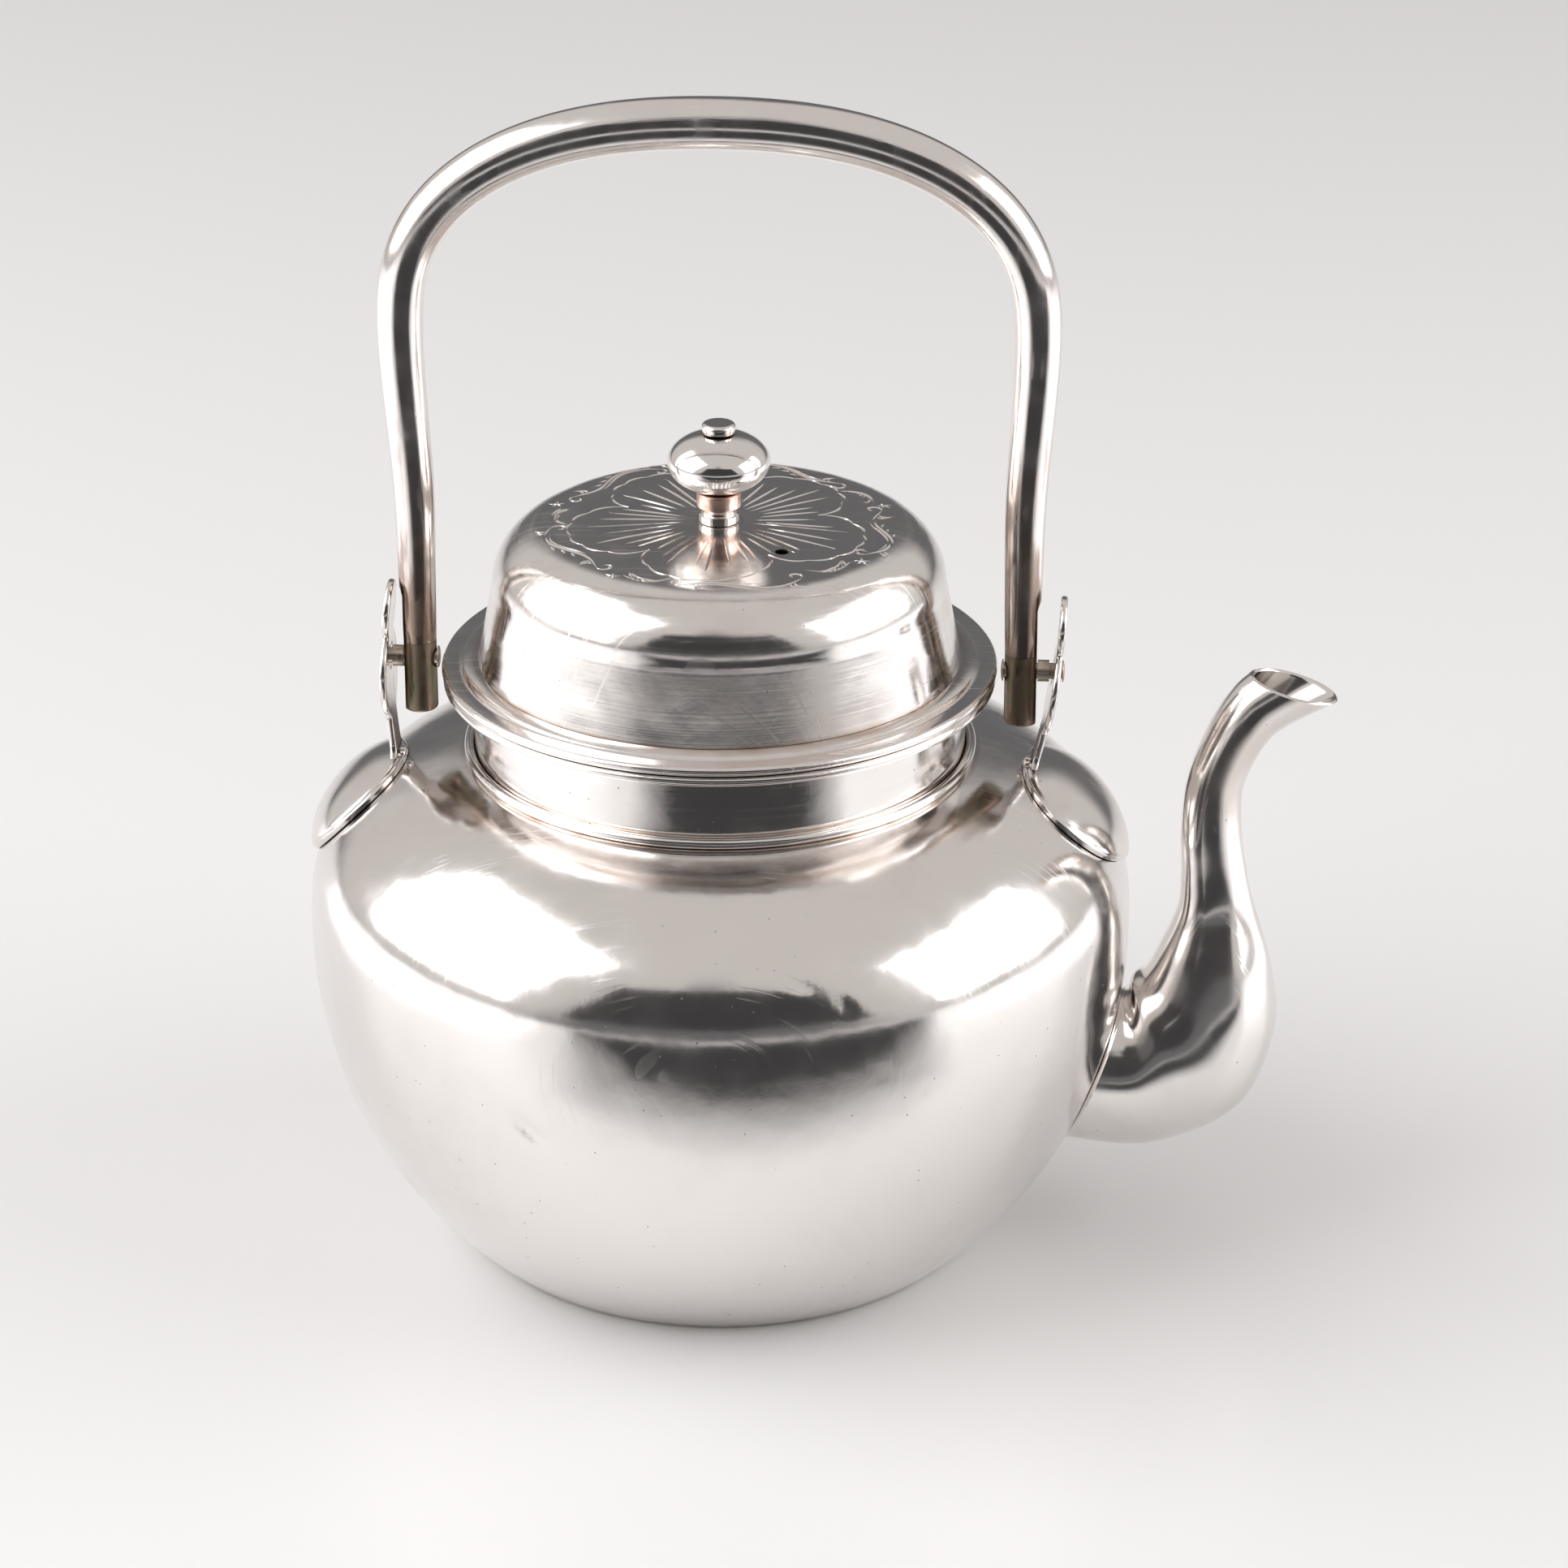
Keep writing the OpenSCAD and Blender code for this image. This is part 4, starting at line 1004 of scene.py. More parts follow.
def leaf_mesh(curve, ears, foot_x, half_w):
    """The domed leaf under an ear, drawn out to a soft point, with a rounded edge."""
    turns, rows, rim = 112, 24, 6
    mid = ears.foot_half_len - ears.foot_tuck

    def ring(q, lift):
        points = []
        for j in range(turns):
            w = math.tau * j / turns
            r = q * (1 + 0.1 * max(0.0, math.cos(w)) ** 6) / math.hypot(
                math.cos(w) / ears.foot_half_len, math.sin(w) / half_w)
            points.append(curve.shoulder_point(mid + r * math.cos(w), r * math.sin(w), lift, foot_x))
        return points

    edge = ears.foot_t * 0.5
    rings = [ring(max(k / rows, 0.001), leaf_lift(ears, k / rows) - LEAF_SINK) for k in range(rows)]
    top = leaf_lift(ears, 1.0) - LEAF_SINK
    for k in range(rim + 1):
        w = math.pi / 2 * (1 - k / rim)
        rings.append(ring(1 - edge / half_w * (1 - math.cos(w)), top - edge + edge * math.sin(w)))
    rings.append(ring(1.0, 0.0001))
    rings += [ring(max(k / 8, 0.001), 0.0001) for k in range(7, -1, -1)]
    verts, faces = skinned(rings, closed=False)
    last = len(verts) - turns
    return verts, faces + [tuple(range(turns))[::-1], tuple(range(last, last + turns))]


def blob(centre, size, seed):
    """A small drop of solder."""
    ripple = Ripple(seed, 0.25, turns=(1, 5), pitch=(0.5, 3))
    rows = [(math.cos(w), math.sin(w)) for w in (math.pi * (k / 14 - 0.5) for k in range(15))]
    verts, faces = turned([(max(0.0, r) if 0 < k < 14 else 0.0, z) for k, (r, z) in enumerate(rows)], 28,
                          lambda a, r, z: (r * (1 + ripple(a, z)), z), closed=False)
    return [tuple(c + s * v for c, s, v in zip(centre, size, p)) for p in verts], faces


class TEAPOT_OT_ears(bpy.types.Operator):
    """Cut and bow the two ears and solder their domed feet to the shoulder"""
    bl_idname = "teapot.ears"
    bl_label = "Ears and feet"

    def execute(self, context):
        ears = context.scene.teapot_ears
        curve = BodyCurve(context.scene.teapot_body)
        silver = worn_silver("ear silver", context.scene.teapot_finish, tarnish=0.7, rough=0.13, scratch_low=0.42,
                             wavy=0.3)
        for side, foot_x, half_w, lean, seed in (
                ("left", ears.left_x, ears.foot_left_r, ears.left_lean, 5),
                ("right", ears.right_x, ears.foot_right_r, ears.right_lean, 8)):
            sign = -1 if side == "left" else 1
            foot_z = ear_foot_z(curve, ears, foot_x)
            parts = ear_mesh(curve, ears, foot_x, lean, ears.pin_d + PLAY, seed)
            ear = new_object(f"ear_{side}_cut", *sided(parts, sign), sharp=50)
            # flat picks the ears' broad faces; their 0.62 is painted shade that makes the faces darker than their
            # bright edges.
            flat = np.array([abs(v.normal.x) > 0.85 for v in ear.data.vertices])
            store_dirt_and_shade(ear, lambda x, y, z, foot_z=foot_z, flat=flat: 0.5 * near(z, foot_z, 0.0009) + 0.62 * flat
                   + 0.3 * near(np.hypot(y, z - PINS_Z), ears.pin_d * 0.75, 0.0005))
            settled(ear, silver, "pot", "ear_silver", f"ear_{side}")
            leaf = leaf_mesh(curve, ears, foot_x, half_w)
            drop = blob((foot_x - 0.0010, -0.0006, foot_z + 0.0001), (0.0010, 0.0017, 0.0008), seed)
            parts = joined(leaf, drop)
            foot = new_object(f"ear_foot_{side}_domed", *sided(parts, sign), sharp=60)

            def dirt(x, y, z, foot_x=foot_x, foot_z=foot_z):
                by_ear = near(np.hypot(np.abs(x) - foot_x, (z - foot_z)), 0, 0.0009) * (np.abs(y) < 0.0034)
                rest = np.array([curve.radius(min(v, curve.neck_z - 0.0001)) for v in z])
                return 0.6 * by_ear + 0.35 * (np.hypot(x, y) - rest < 0.0004)

            store_dirt_and_shade(foot, dirt)
            settled(foot, silver, "pot", "ear_silver", f"ear_foot_{side}")
        return {"FINISHED"}


def along_x(parts, sign):
    """Points and faces of a turned piece laid along X, pointing outwards on the given side."""
    verts, faces = parts
    return sided(([(z, x, y + PINS_Z) for x, y, z in verts], faces), sign)


class TEAPOT_OT_pins(bpy.types.Operator):
    """Turn the two shouldered hinge pins and spread their heads"""
    bl_idname = "teapot.pins"
    bl_label = "Hinge pins"

    def execute(self, context):
        ears, bail = context.scene.teapot_ears, context.scene.teapot_bail
        metal = base_metal("pin metal", (0.62, 0.55, 0.48), (0.34, 0.25, 0.18), rough=0.28, share=0.7)
        for side in ("left", "right"):
            low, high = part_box(f"hinge_pin_{side}")
            sign = -1 if side == "left" else 1
            inner, outer = sorted((abs(low.x), abs(high.x)))
            flat_x = bail.leg_x + bail.end_d / 2 - bail.flat_depth
            play, head_t, head_r, r = 0.00015, ears.pin_head_t, ears.pin_head_d / 2, ears.pin_d / 2
            sheet_x = outer - head_t
            shoulder_end = sheet_x - ears.sheet - 0.00045 - (0.0005 if side == "right" else 0.0)
            dome = [(head_r * math.cos(w), math.sin(w)) for w in (math.pi / 2 * k / 8 for k in range(9))]
            profile = ([(d, inner + head_t * 0.75 * (1 - h)) for d, h in reversed(dome)]
                       + [(head_r, inner + head_t), (r, inner + head_t), (r, flat_x + play),
                          (ears.pin_shoulder_d / 2, flat_x + play), (ears.pin_shoulder_d / 2, shoulder_end),
                          (r, shoulder_end), (r, sheet_x), (head_r, sheet_x)]
                       + [(d, outer - head_t * 0.75 * (1 - h)) for d, h in dome])
            profile[0], profile[-1] = (0.0, inner), (0.0, outer)
            ripple = Ripple(31 + sign, 0.00012, turns=(1, 4), pitch=(100, 900))
            parts = turned(profile, 48, lambda a, rr, z: (rr + (ripple(a, z) if rr > r + 0.0001 else 0.0), z),
                           closed=False)
            pin = new_object(f"hinge_pin_{side}_spread", *along_x(parts, sign), sharp=40)
            settled(pin, metal, "pot", "pin_metal", f"hinge_pin_{side}")
        return {"FINISHED"}


# ---------------------------------------------------------------------------------------
# Bail handle
# ---------------------------------------------------------------------------------------

def bail_path(bail, legs=84, arch=90):
    """Points (x, z) of the tube's middle from the right leg over the arch to the left leg, with radii."""
    def leg_x(z):
        if z < bail.straight_z:
            return bail.leg_x
        share = (z - bail.straight_z) / (bail.wide_z - bail.straight_z)
        return bail.leg_x + (bail.wide_x - bail.leg_x) * (1 - math.cos(math.pi * share)) / 2

    half, shares, legs_end = [], [], 15 / 29
    for i in range(legs):
        z = bail.tube_end_z + (bail.wide_z - bail.tube_end_z) * i / legs
        half.append((leg_x(z), z))
        shares.append(1 - (1 - legs_end) * i / legs)
    for i in range(arch + 1):
        w = math.pi / 2 * i / arch
        half.append((bail.wide_x * max(0.0, math.cos(w)) ** (2 / bail.arch_power),
                     bail.wide_z + (bail.top_z - bail.wide_z) * math.sin(w) ** (2 / bail.arch_power)))
        shares.append(legs_end * (1 - i / arch))
    radii = [(bail.end_d + (bail.top_d - bail.end_d) * (1 - max(0.0, s) ** bail.taper_power)) / 2 for s in shares]
    path = np.array(half + [(-x, z) for x, z in reversed(half[:-1])])
    radii = np.array(radii + radii[-2::-1])
    for _ in range(60):
        path[1:-1] = (path[:-2] + 2 * path[1:-1] + path[2:]) / 4
        radii[1:-1] = (radii[:-2] + 2 * radii[1:-1] + radii[2:]) / 4
    return path.tolist(), radii.tolist()


def tube_tree():
    """Geometry Nodes: a tube along the incoming edges, as thick as its points say, with a flat filed low down."""
    tree, new = new_tree("tube_with_filed_flats", Sides="Int", Flat_distance="Float", Flat_height="Float",
                         Flat_runout="Float")
    given, curve, ring, tube, thick, where, shape = (new(kind) for kind in (
        "NodeGroupInput", "GeometryNodeMeshToCurve", "GeometryNodeCurvePrimitiveCircle", "GeometryNodeCurveToMesh",
        "GeometryNodeInputNamedAttribute", "GeometryNodeInputPosition", "GeometryNodeSetPosition"))
    parts, moved = new("ShaderNodeSeparateXYZ"), new("ShaderNodeCombineXYZ")
    thick.data_type = "FLOAT"
    thick.inputs["Name"].default_value = "tube_radius"
    ring.mode = "RADIUS"
    ring.inputs["Radius"].default_value = 1.0

    def maths(how, a, b=0.0):
        made = new("ShaderNodeMath")
        made.operation = how
        for socket, value in zip(made.inputs, (a, b)):
            if isinstance(value, bpy.types.NodeSocket):
                tree.links.new(value, socket)
            else:
                socket.default_value = value
        return made.outputs[0]

    told, (x, y, z) = given.outputs, parts.outputs
    over = maths("MAXIMUM", maths("SUBTRACT", z, told["Flat height"]))
    limit = maths("ADD", told["Flat distance"], maths("MULTIPLY", over, told["Flat runout"]))
    held = maths("MULTIPLY", maths("MINIMUM", maths("ABSOLUTE", x), limit), maths("SIGN", x))
    join_up(tree, (told["Geometry"], curve.inputs["Mesh"]), (told["Sides"], ring.inputs["Resolution"]),
            (curve.outputs[0], tube.inputs["Curve"]), (ring.outputs[0], tube.inputs["Profile Curve"]),
            (thick.outputs[0], tube.inputs["Scale"]), (where.outputs[0], parts.inputs[0]),
            (held, moved.inputs[0]), (y, moved.inputs[1]), (z, moved.inputs[2]),
            (tube.outputs[0], shape.inputs["Geometry"]), (moved.outputs[0], shape.inputs["Position"]))
    return close_tree(tree, shape.outputs[0], given)


class TEAPOT_OT_bail(bpy.types.Operator):
    """Bend the tapered tube of the bail and fit its solid end pieces"""
    bl_idname = "teapot.bail"
    bl_label = "Bail handle"

    def execute(self, context):
        bail, ears, colours = (context.scene.teapot_bail, context.scene.teapot_ears, context.scene.teapot_finish)
        silver = handle_silver("bail silver", colours)
        path, radii = bail_path(bail)
        spine = bpy.data.meshes.new("bail_bent")
        spine.from_pydata([(x, 0.0, z) for x, z in path], [(k, k + 1) for k in range(len(path) - 1)], [])
        spine.attributes.new("tube_radius", "FLOAT", "POINT").data.foreach_set("value", radii)
        tube = bpy.data.objects.new("bail_bent", spine)
        context.scene.collection.objects.link(tube)
        flat_x = bail.leg_x + bail.end_d / 2 - bail.flat_depth
        run_nodes(tube, tube_tree(), Sides=bail.sides, Flat_distance=flat_x, Flat_height=bail.flat_z - 0.0012,
                  Flat_runout=0.7, Material=silver)
        wall = tube.modifiers.new("wall", "SOLIDIFY")
        wall.thickness = bail.wall
        wall.offset = -1.0
        baked(tube)
        outward(tube)
        soften(tube, 28)
        store_dirt_and_shade(tube, lambda x, y, z: 0.8 * near(z, bail.tube_end_z, 0.0006))
        settled(tube, silver, "bail", "bail_silver", "bail_tube")

        green = base_metal("handle end metal", tuple(0.5 * c for c in colours.tarnish),
                           tuple(colours.verdigris), rough=0.30, share=0.85)
        r, peg_r, top = bail.end_d / 2, bail.end_d / 2 - bail.wall - 0.0001, bail.tube_end_z - SEAM
        chamfer = 0.0005
        profile = ([(0.0, bail.leg_end_z), (r - chamfer, bail.leg_end_z)]
                   + arc(r - chamfer, bail.leg_end_z + chamfer, chamfer, -90, 0, 6)[1:]
                   + line((r, bail.leg_end_z + chamfer), (r, top), 12)[1:]
                   + [(peg_r, top), (peg_r, top + 0.0098), (peg_r - 0.0003, top + 0.0101), (0.0, top + 0.0101)])
        for side, sign in (("left", -1), ("right", 1)):
            verts, faces = turned(profile, 64, closed=False)
            verts = [(min(flat_x, bail.leg_x + x), y, z) for x, y, z in verts]
            end = new_object(f"bail_end_{side}_filed", *sided((verts, faces), sign))
            run_nodes(end, drill_tree(), Hole_diameter=ears.pin_d + PLAY, Depth=0.02, Distance=sign * bail.leg_x,
                      Height=PINS_Z, Ring=False, Ring_radius=0.0, Holes_in_ring=3, Material=green)
            soften(end)
            store_dirt_and_shade(end, lambda x, y, z: 0.5 * near(z, top, 0.0007))
            settled(end, green, "bail", "tarnished_metal", f"bail_end_{side}")
        return {"FINISHED"}


# ---------------------------------------------------------------------------------------
# Lid and knob
# ---------------------------------------------------------------------------------------

class DomeCurve:
    """The dome's meridian, for the outside or inset for the inside."""

    def __init__(self, lid, inset=0.0):
        self.foot_r, self.foot_z = lid.dome_d / 2 - inset, lid.dome_z
        self.top_z = lid.dome_z + lid.dome_h
        shoulder_r = lid.dome_d / 2 - lid.dome_lean - lid.dome_round
        self.crown_r = (shoulder_r ** 2 + lid.crown ** 2) / (2 * lid.crown)
        crown_w = math.asin(shoulder_r / self.crown_r)
        self.round = lid.dome_round - inset
        self.centre_r = shoulder_r - lid.dome_round * math.sin(crown_w)
        self.centre_z = self.top_z - lid.crown - lid.dome_round * math.cos(crown_w)
        self.edge_r = self.centre_r + self.round * math.sin(crown_w)
        self.crown_r -= inset
        self.middle_z = self.top_z - inset - self.crown_r

    def height(self, r):
        """Height of the nearly flat top or the shoulder at a radius."""
        if r <= self.edge_r:
            return self.middle_z + math.sqrt(self.crown_r ** 2 - r * r)
        return self.centre_z + math.sqrt(max(0.0, self.round ** 2 - (r - self.centre_r) ** 2))

    def wall(self, from_r, steps=26):
        """Points from a radius on the shoulder down to the dome's foot."""
        start = math.degrees(math.acos((from_r - self.centre_r) / self.round))
        points = arc(self.centre_r, self.centre_z, self.round, start, 0, steps)
        return points + line(points[-1], (self.foot_r, self.foot_z), 12)[1:]


class Stroke:
    """One engraved line: points in the plane of the lid's top, tapering to both ends."""

    def __init__(self, points, width, depth, ends=0.15):
        self.points = [Vector(p) for p in points]
        n = len(points) - 1
        self.widths = [max(ends, math.sin(math.pi * k / n) ** 0.5) * width / 2 for k in range(n + 1)]
        self.depth = depth

    def sides(self):
        """Centre line and both edge lines."""
        left, right = [], []
        for k, p in enumerate(self.points):
            along = self.points[min(k + 1, len(self.points) - 1)] - self.points[max(0, k - 1)]
            along.normalize()
            out = Vector((-along.y, along.x)) * self.widths[k]
            left.append(p + out)
            right.append(p - out)
        return [self.points, left, right]


def curl(centre, start_r, end_r, start, turn, steps=22):
    """Points of a spiral from one radius and angle, closing in on its centre."""
    return [(centre[0] + (start_r + (end_r - start_r) * t) * math.cos(start + turn * t),
             centre[1] + (start_r + (end_r - start_r) * t) * math.sin(start + turn * t))
            for t in (k / steps for k in range(steps + 1))]


def bow(a, b, c, steps=12):
    """Points of a bent line from a to c that leans towards b."""
    return [(1 - t) ** 2 * a + 2 * t * (1 - t) * b + t * t * c for t in (k / steps for k in range(steps + 1))]


def polar(r, a):
    """A point in the plane of the lid's top."""
    return Vector((r * math.cos(a), r * math.sin(a)))


def lid_strokes(engraving):
    """The lid's engraving: a scalloped flower with rays round the knob, in a border of scrolls and leaf sprays."""
    draw = np.random.default_rng(engraving.seed)
    petals, turn, first = engraving.petals, math.tau / engraving.petals, engraving.first_petal
    strokes = []

    def cut(points, wide=1.0, deep=1.0, ends=0.15):
        strokes.append(Stroke(points, engraving.line_w * wide, engraving.depth * deep, ends))

    def edge(a):
        lobe = abs(math.cos(petals * (a - first) / 2)) ** 0.62
        return engraving.notch_r + (engraving.flower_r - engraving.notch_r) * lobe

    scallops = 6 * petals
    for k in range(scallops):
        a = first + turn / 2 + math.tau * k / scallops
        cut([polar(edge(a + math.tau / scallops * t) + 0.0005 * math.sin(math.pi * t), a + math.tau / scallops * t)
             for t in (i / 10 for i in range(11))], 0.9, ends=0.45)
    for k in range(engraving.rays):
        a = math.tau * (k + draw.uniform(-0.2, 0.2)) / engraving.rays
        start = polar(engraving.ray_from + draw.uniform(0, 0.0030), a)
        end = polar(edge(a) - draw.uniform(0.0016, 0.0052), a + draw.uniform(-0.03, 0.03))
        middle = (start + end) * 0.5 + polar(draw.uniform(-0.0003, 0.0003), a + 1.57)
        cut(bow(start, middle, end), draw.uniform(0.9, 1.15))
    for k in range(petals):
        hand = 1 if k % 2 else -1
        middle = first + turn * (k + 0.2) + draw.uniform(-0.04, 0.04)
        wave = draw.uniform(0.0013, 0.0019)

        def stem(t, out=0.0):
            return polar(engraving.scroll_r - wave * hand * math.sin(math.tau * t) + out,
                         middle + turn * 0.58 * (t - 0.5))

        cut([stem(i / 30) for i in range(31)], 1.25)
        cut([stem(0.15 + 0.55 * i / 16, 0.00062 * hand) for i in range(17)], 0.7, 0.8)
        for end in (0, 1):
            tip, back = stem(end), stem(abs(end - 0.04))
            way = (back - tip).normalized()
            side = 1 if Vector((-way.y, way.x)).dot(tip) < 0 else -1
            out = Vector((-way.y, way.x)) * side
            size = draw.uniform(0.0011, 0.0014)
            cut(curl(tip + out * size, size, 0.35 * size, math.atan2(-out.y, -out.x), -side * 4.6, 18), 1.0)
            for lean in (0.35, 0.75):
                base = stem(abs(end - 0.06 - 0.1 * lean))
                tuft = base - out * 0.0021 + way * 0.0006 * (1 - 4 * lean)
                cut(bow(base - out * 0.0003, base - out * 0.0012 + way * 0.0008, tuft, 8), 0.95, 0.9)
        for t in (0.42, 0.52, 0.62):
            dash = [stem(t + ahead, -aside * hand) for ahead, aside in ((0, 0.0007), (0.04, 0.0009), (0.07, 0.0013))]
            cut(bow(*dash, 6), 0.8, 0.8)
        a = first + turn * (k + 0.715)
        r = engraving.scroll_r
        leaf = bow(polar(r - 0.0022, a - hand * 0.17), polar(r + 0.0016, a - hand * 0.08),
                   polar(r - 0.0002, a + hand * 0.11), 16)
        cut(leaf, 1.4)
        for t, long in ((5, 0.8), (7, 1.0), (9, 1.1), (11, 1.0), (13, 0.8)):
            base, ahead = leaf[t], leaf[t + 1]
            way = (ahead - base).normalized()
            out = Vector((-way.y, way.x)) * hand
            cut(bow(base, base + (way * 0.0012 + out * 0.0005) * long,
                    base + (way * 0.0021 + out * 0.0017) * long, 8), 1.0, 0.9)
        star = polar(r + 0.0009, a + hand * 0.17)
        for k_star in range(5):
            ray = polar(0.00085, k_star * math.tau / 5 + 0.4 * k)
            cut(bow(star + ray * 0.25, star + ray * 0.6, star + ray, 3), 0.75, 0.8, 0.5)
    return strokes


def stroke_depths(points, strokes):
    """How deep the strokes are cut at each of the points."""
    xy = np.array([(p.x, p.y) for p in points])
    depth = np.zeros(len(xy))
    for stroke in strokes:
        p = np.array([tuple(v) for v in stroke.points])
        close = np.where(((xy > p.min(0) - STROKE_REACH) & (xy < p.max(0) + STROKE_REACH)).all(1))[0]
        if not len(close):
            continue
        here = xy[close][:, None, :]
        a, b = p[None, :-1], p[None, 1:]
        t = np.clip(((here - a) * (b - a)).sum(2) / np.maximum(((b - a) ** 2).sum(2), 1e-18), 0, 1)
        gap = np.linalg.norm(here - (a + t[..., None] * (b - a)), axis=2)
        w = np.array(stroke.widths)
        width = w[None, :-1] + t * (w[1:] - w[:-1])[None]
        share = np.clip(1 - gap / width, 0, 1) * (width / w.max())
        depth[close] = np.maximum(depth[close], share.max(1) * stroke.depth)
    return depth


def circle_points(cx, cy, r, n):
    """n points on a circle."""
    return [Vector(p) for p in arc(cx, cy, r, 0, 360, n)[:-1]]


def worked_disc(curve, edge_r, sides, holes, strokes, ring_step):
    """A disc of the dome with round holes, triangulated along its engraved strokes."""
    coords, edges = circle_points(0, 0, edge_r, sides), [(k, (k + 1) % sides) for k in range(sides)]
    for x, y, r, n in holes:
        start = len(coords)
        coords += circle_points(x, y, r, n)
        edges += [(start + k, start + (k + 1) % n) for k in range(n)]
    for stroke in strokes:
        for side in stroke.sides():
            start = len(coords)
            coords += side
            edges += [(start + k, start + k + 1) for k in range(len(side) - 1)]
    r = edge_r - ring_step
    while r > 0.0015:
        for p in circle_points(0, 0, r, max(12, round(math.tau * r / ring_step))):
            if all(math.hypot(p.x - x, p.y - y) > hole_r + 0.0003 for x, y, hole_r, n in holes):
                coords.append(p)
        r -= ring_step
    cells = delaunay_2d_cdt(coords, edges, [], 1, 1e-8)
    points, faces = cells[0], cells[2]
    depths = stroke_depths(points, strokes)
    verts = [(p.x, p.y, curve.height(p.length) - float(d)) for p, d in zip(points, depths)]
    kept = []
    for f in faces:
        x, y = sum(points[i].x for i in f) / len(f), sum(points[i].y for i in f) / len(f)
        if all(math.hypot(x - hx, y - hy) > hr * 0.999 for hx, hy, hr, n in holes):
            kept.append(tuple(f))
    return verts, kept


class TEAPOT_OT_lid(bpy.types.Operator):
    """Raise the lid's dome, engrave its top and pierce it, and turn the flange and the hidden ring"""
    bl_idname = "teapot.lid"
    bl_label = "Lid"

    def execute(self, context):
        lid, engraving = context.scene.teapot_lid, context.scene.teapot_engraving
        colours = context.scene.teapot_finish
        outer, inner = DomeCurve(lid), DomeCurve(lid, lid.sheet)
        sides = 288
        steam = (lid.steam_r * math.cos(lid.steam_angle), lid.steam_r * math.sin(lid.steam_angle), lid.steam_d / 2, 32)
        holes = [(0.0, 0.0, lid.rivet_d / 2 + SEAM, 32), steam]
        strokes = lid_strokes(engraving)
        inside_r = engraving.disc_r - lid.sheet * 0.5
        top = worked_disc(outer, engraving.disc_r, sides, holes, strokes, ring_step=0.00085)
        under = worked_disc(inner, inside_r, sides, holes, [], ring_step=0.0024)
        wall = turned(outer.wall(engraving.disc_r) + inner.wall(inside_r)[::-1], sides, closed=False)
        bores = [skinned([[(p.x, p.y, curve.height(p.length)) for p in circle_points(x, y, r, n)]
                          for curve in (outer, inner)], closed=False) for x, y, r, n in holes]
        dome = new_object("lid_dome_engraved", *joined(top, under, wall, *bores), sharp=16)
        ripple, wall_r = Ripple(41, 0.00010, turns=(2, 8), pitch=(20, 120)), 0.030
        for v in dome.data.vertices:
            r, a = math.hypot(v.co.x, v.co.y), math.atan2(v.co.y, v.co.x)
            push = ripple(a, r) * min(1.0, max(0.0, r - 0.004) / 0.01)
            if r > wall_r:
                v.co.xy *= 1 + push * min(1.0, (v.co.z - outer.foot_z) / 0.003) / r
            else:
                v.co.z += push * 0.8 * min(1.0, (wall_r - r) / 0.004)

        def dirt(x, y, z):
            points = [Vector((px, py)) for px, py in zip(x, y)]
            cut = stroke_depths(points, strokes) / engraving.depth * (z > outer.foot_z + lid.dome_h * 0.7)
            hole = near(np.hypot(x - steam[0], y - steam[1]), steam[2], 0.0006)
            return 0.7 * cut + 0.5 * near(np.hypot(x, y), 0.0033, 0.0005) * (z > outer.foot_z + 0.015) \
                + 0.75 * near(z, outer.foot_z, 0.0006) + 0.6 * hole

        store_dirt_and_shade(dome, dirt)
        silver = worn_silver("lid silver", colours, tarnish=0.7, rough=0.12, streaks=1.0, tarnish_low=0.46,
                             scratch_low=0.42)
        settled(dome, silver, "lid", "lid_silver", "lid_dome")

        edge, flange_r = lid.flange_t / 2, lid.flange_d / 2
        foot_r, hollow = lid.dome_d / 2 + lid.sheet / 2, (lid.flange_d - lid.dome_d) / 8 + SEAM / 2
        flange_top = lid.flange_z + lid.flange_t
        inner_r = lid.dome_d / 2 - 2 * lid.sheet
        profile = (line((inner_r, lid.flange_z), (flange_r - edge, lid.flange_z), 4)[:-1]
                   + arc(flange_r - edge, lid.flange_z + edge, edge, -90, 84, 14)
                   + arc(foot_r + 2 * hollow, flange_top + hollow, hollow, -92, -135, 8)
                   + [(foot_r, flange_top + lid.flange_rise), (inner_r, flange_top + lid.flange_rise)])
        wave = Ripple(47, 0.00009, turns=(2, 8), pitch=(20, 60))
        turned_piece("lid_flange_turned", profile, sides, (silver, "lid", "lid_silver", "lid_flange"),
                     lambda a, r, z: (r + wave(a, z) * (r > foot_r), z), sharp=40,
                     dirt=lambda x, y, z: (0.85 * near(np.hypot(x, y), foot_r - 0.0003, 0.0004)
                                           + 0.2 * near(np.hypot(x, y), foot_r + 0.0012, 0.0010))
                     * (z > lid.flange_z + 0.0009))

        low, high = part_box("lid_bezel")
        soft, ring_r, inner_ring_r = 0.00025, high.x, high.x - 0.0008
        profile = (arc(ring_r - soft, low.z + soft, soft, -90, 0, 4) + [(ring_r, high.z), (inner_ring_r, high.z)]
                   + arc(inner_ring_r + soft, low.z + soft, soft, 180, 270, 4))
        dull = worn_silver("inner silver", colours, tarnish=1.0, rough=0.24, streaks=1.0, tarnish_low=0.42)
        turned_piece("lid_bezel_turned", profile, 192, (dull, "lid", "inner_silver", "lid_bezel"))
        low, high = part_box("rivet_washer")
        hole_r = lid.rivet_d / 2 + SEAM
        profile = [(hole_r, low.z), (high.x - soft, low.z), (high.x, low.z + soft), (high.x, high.z), (hole_r, high.z)]
        turned_piece("rivet_washer_inside", profile, 64, (dull, "lid", "inner_silver", "rivet_washer"))
        return {"FINISHED"}


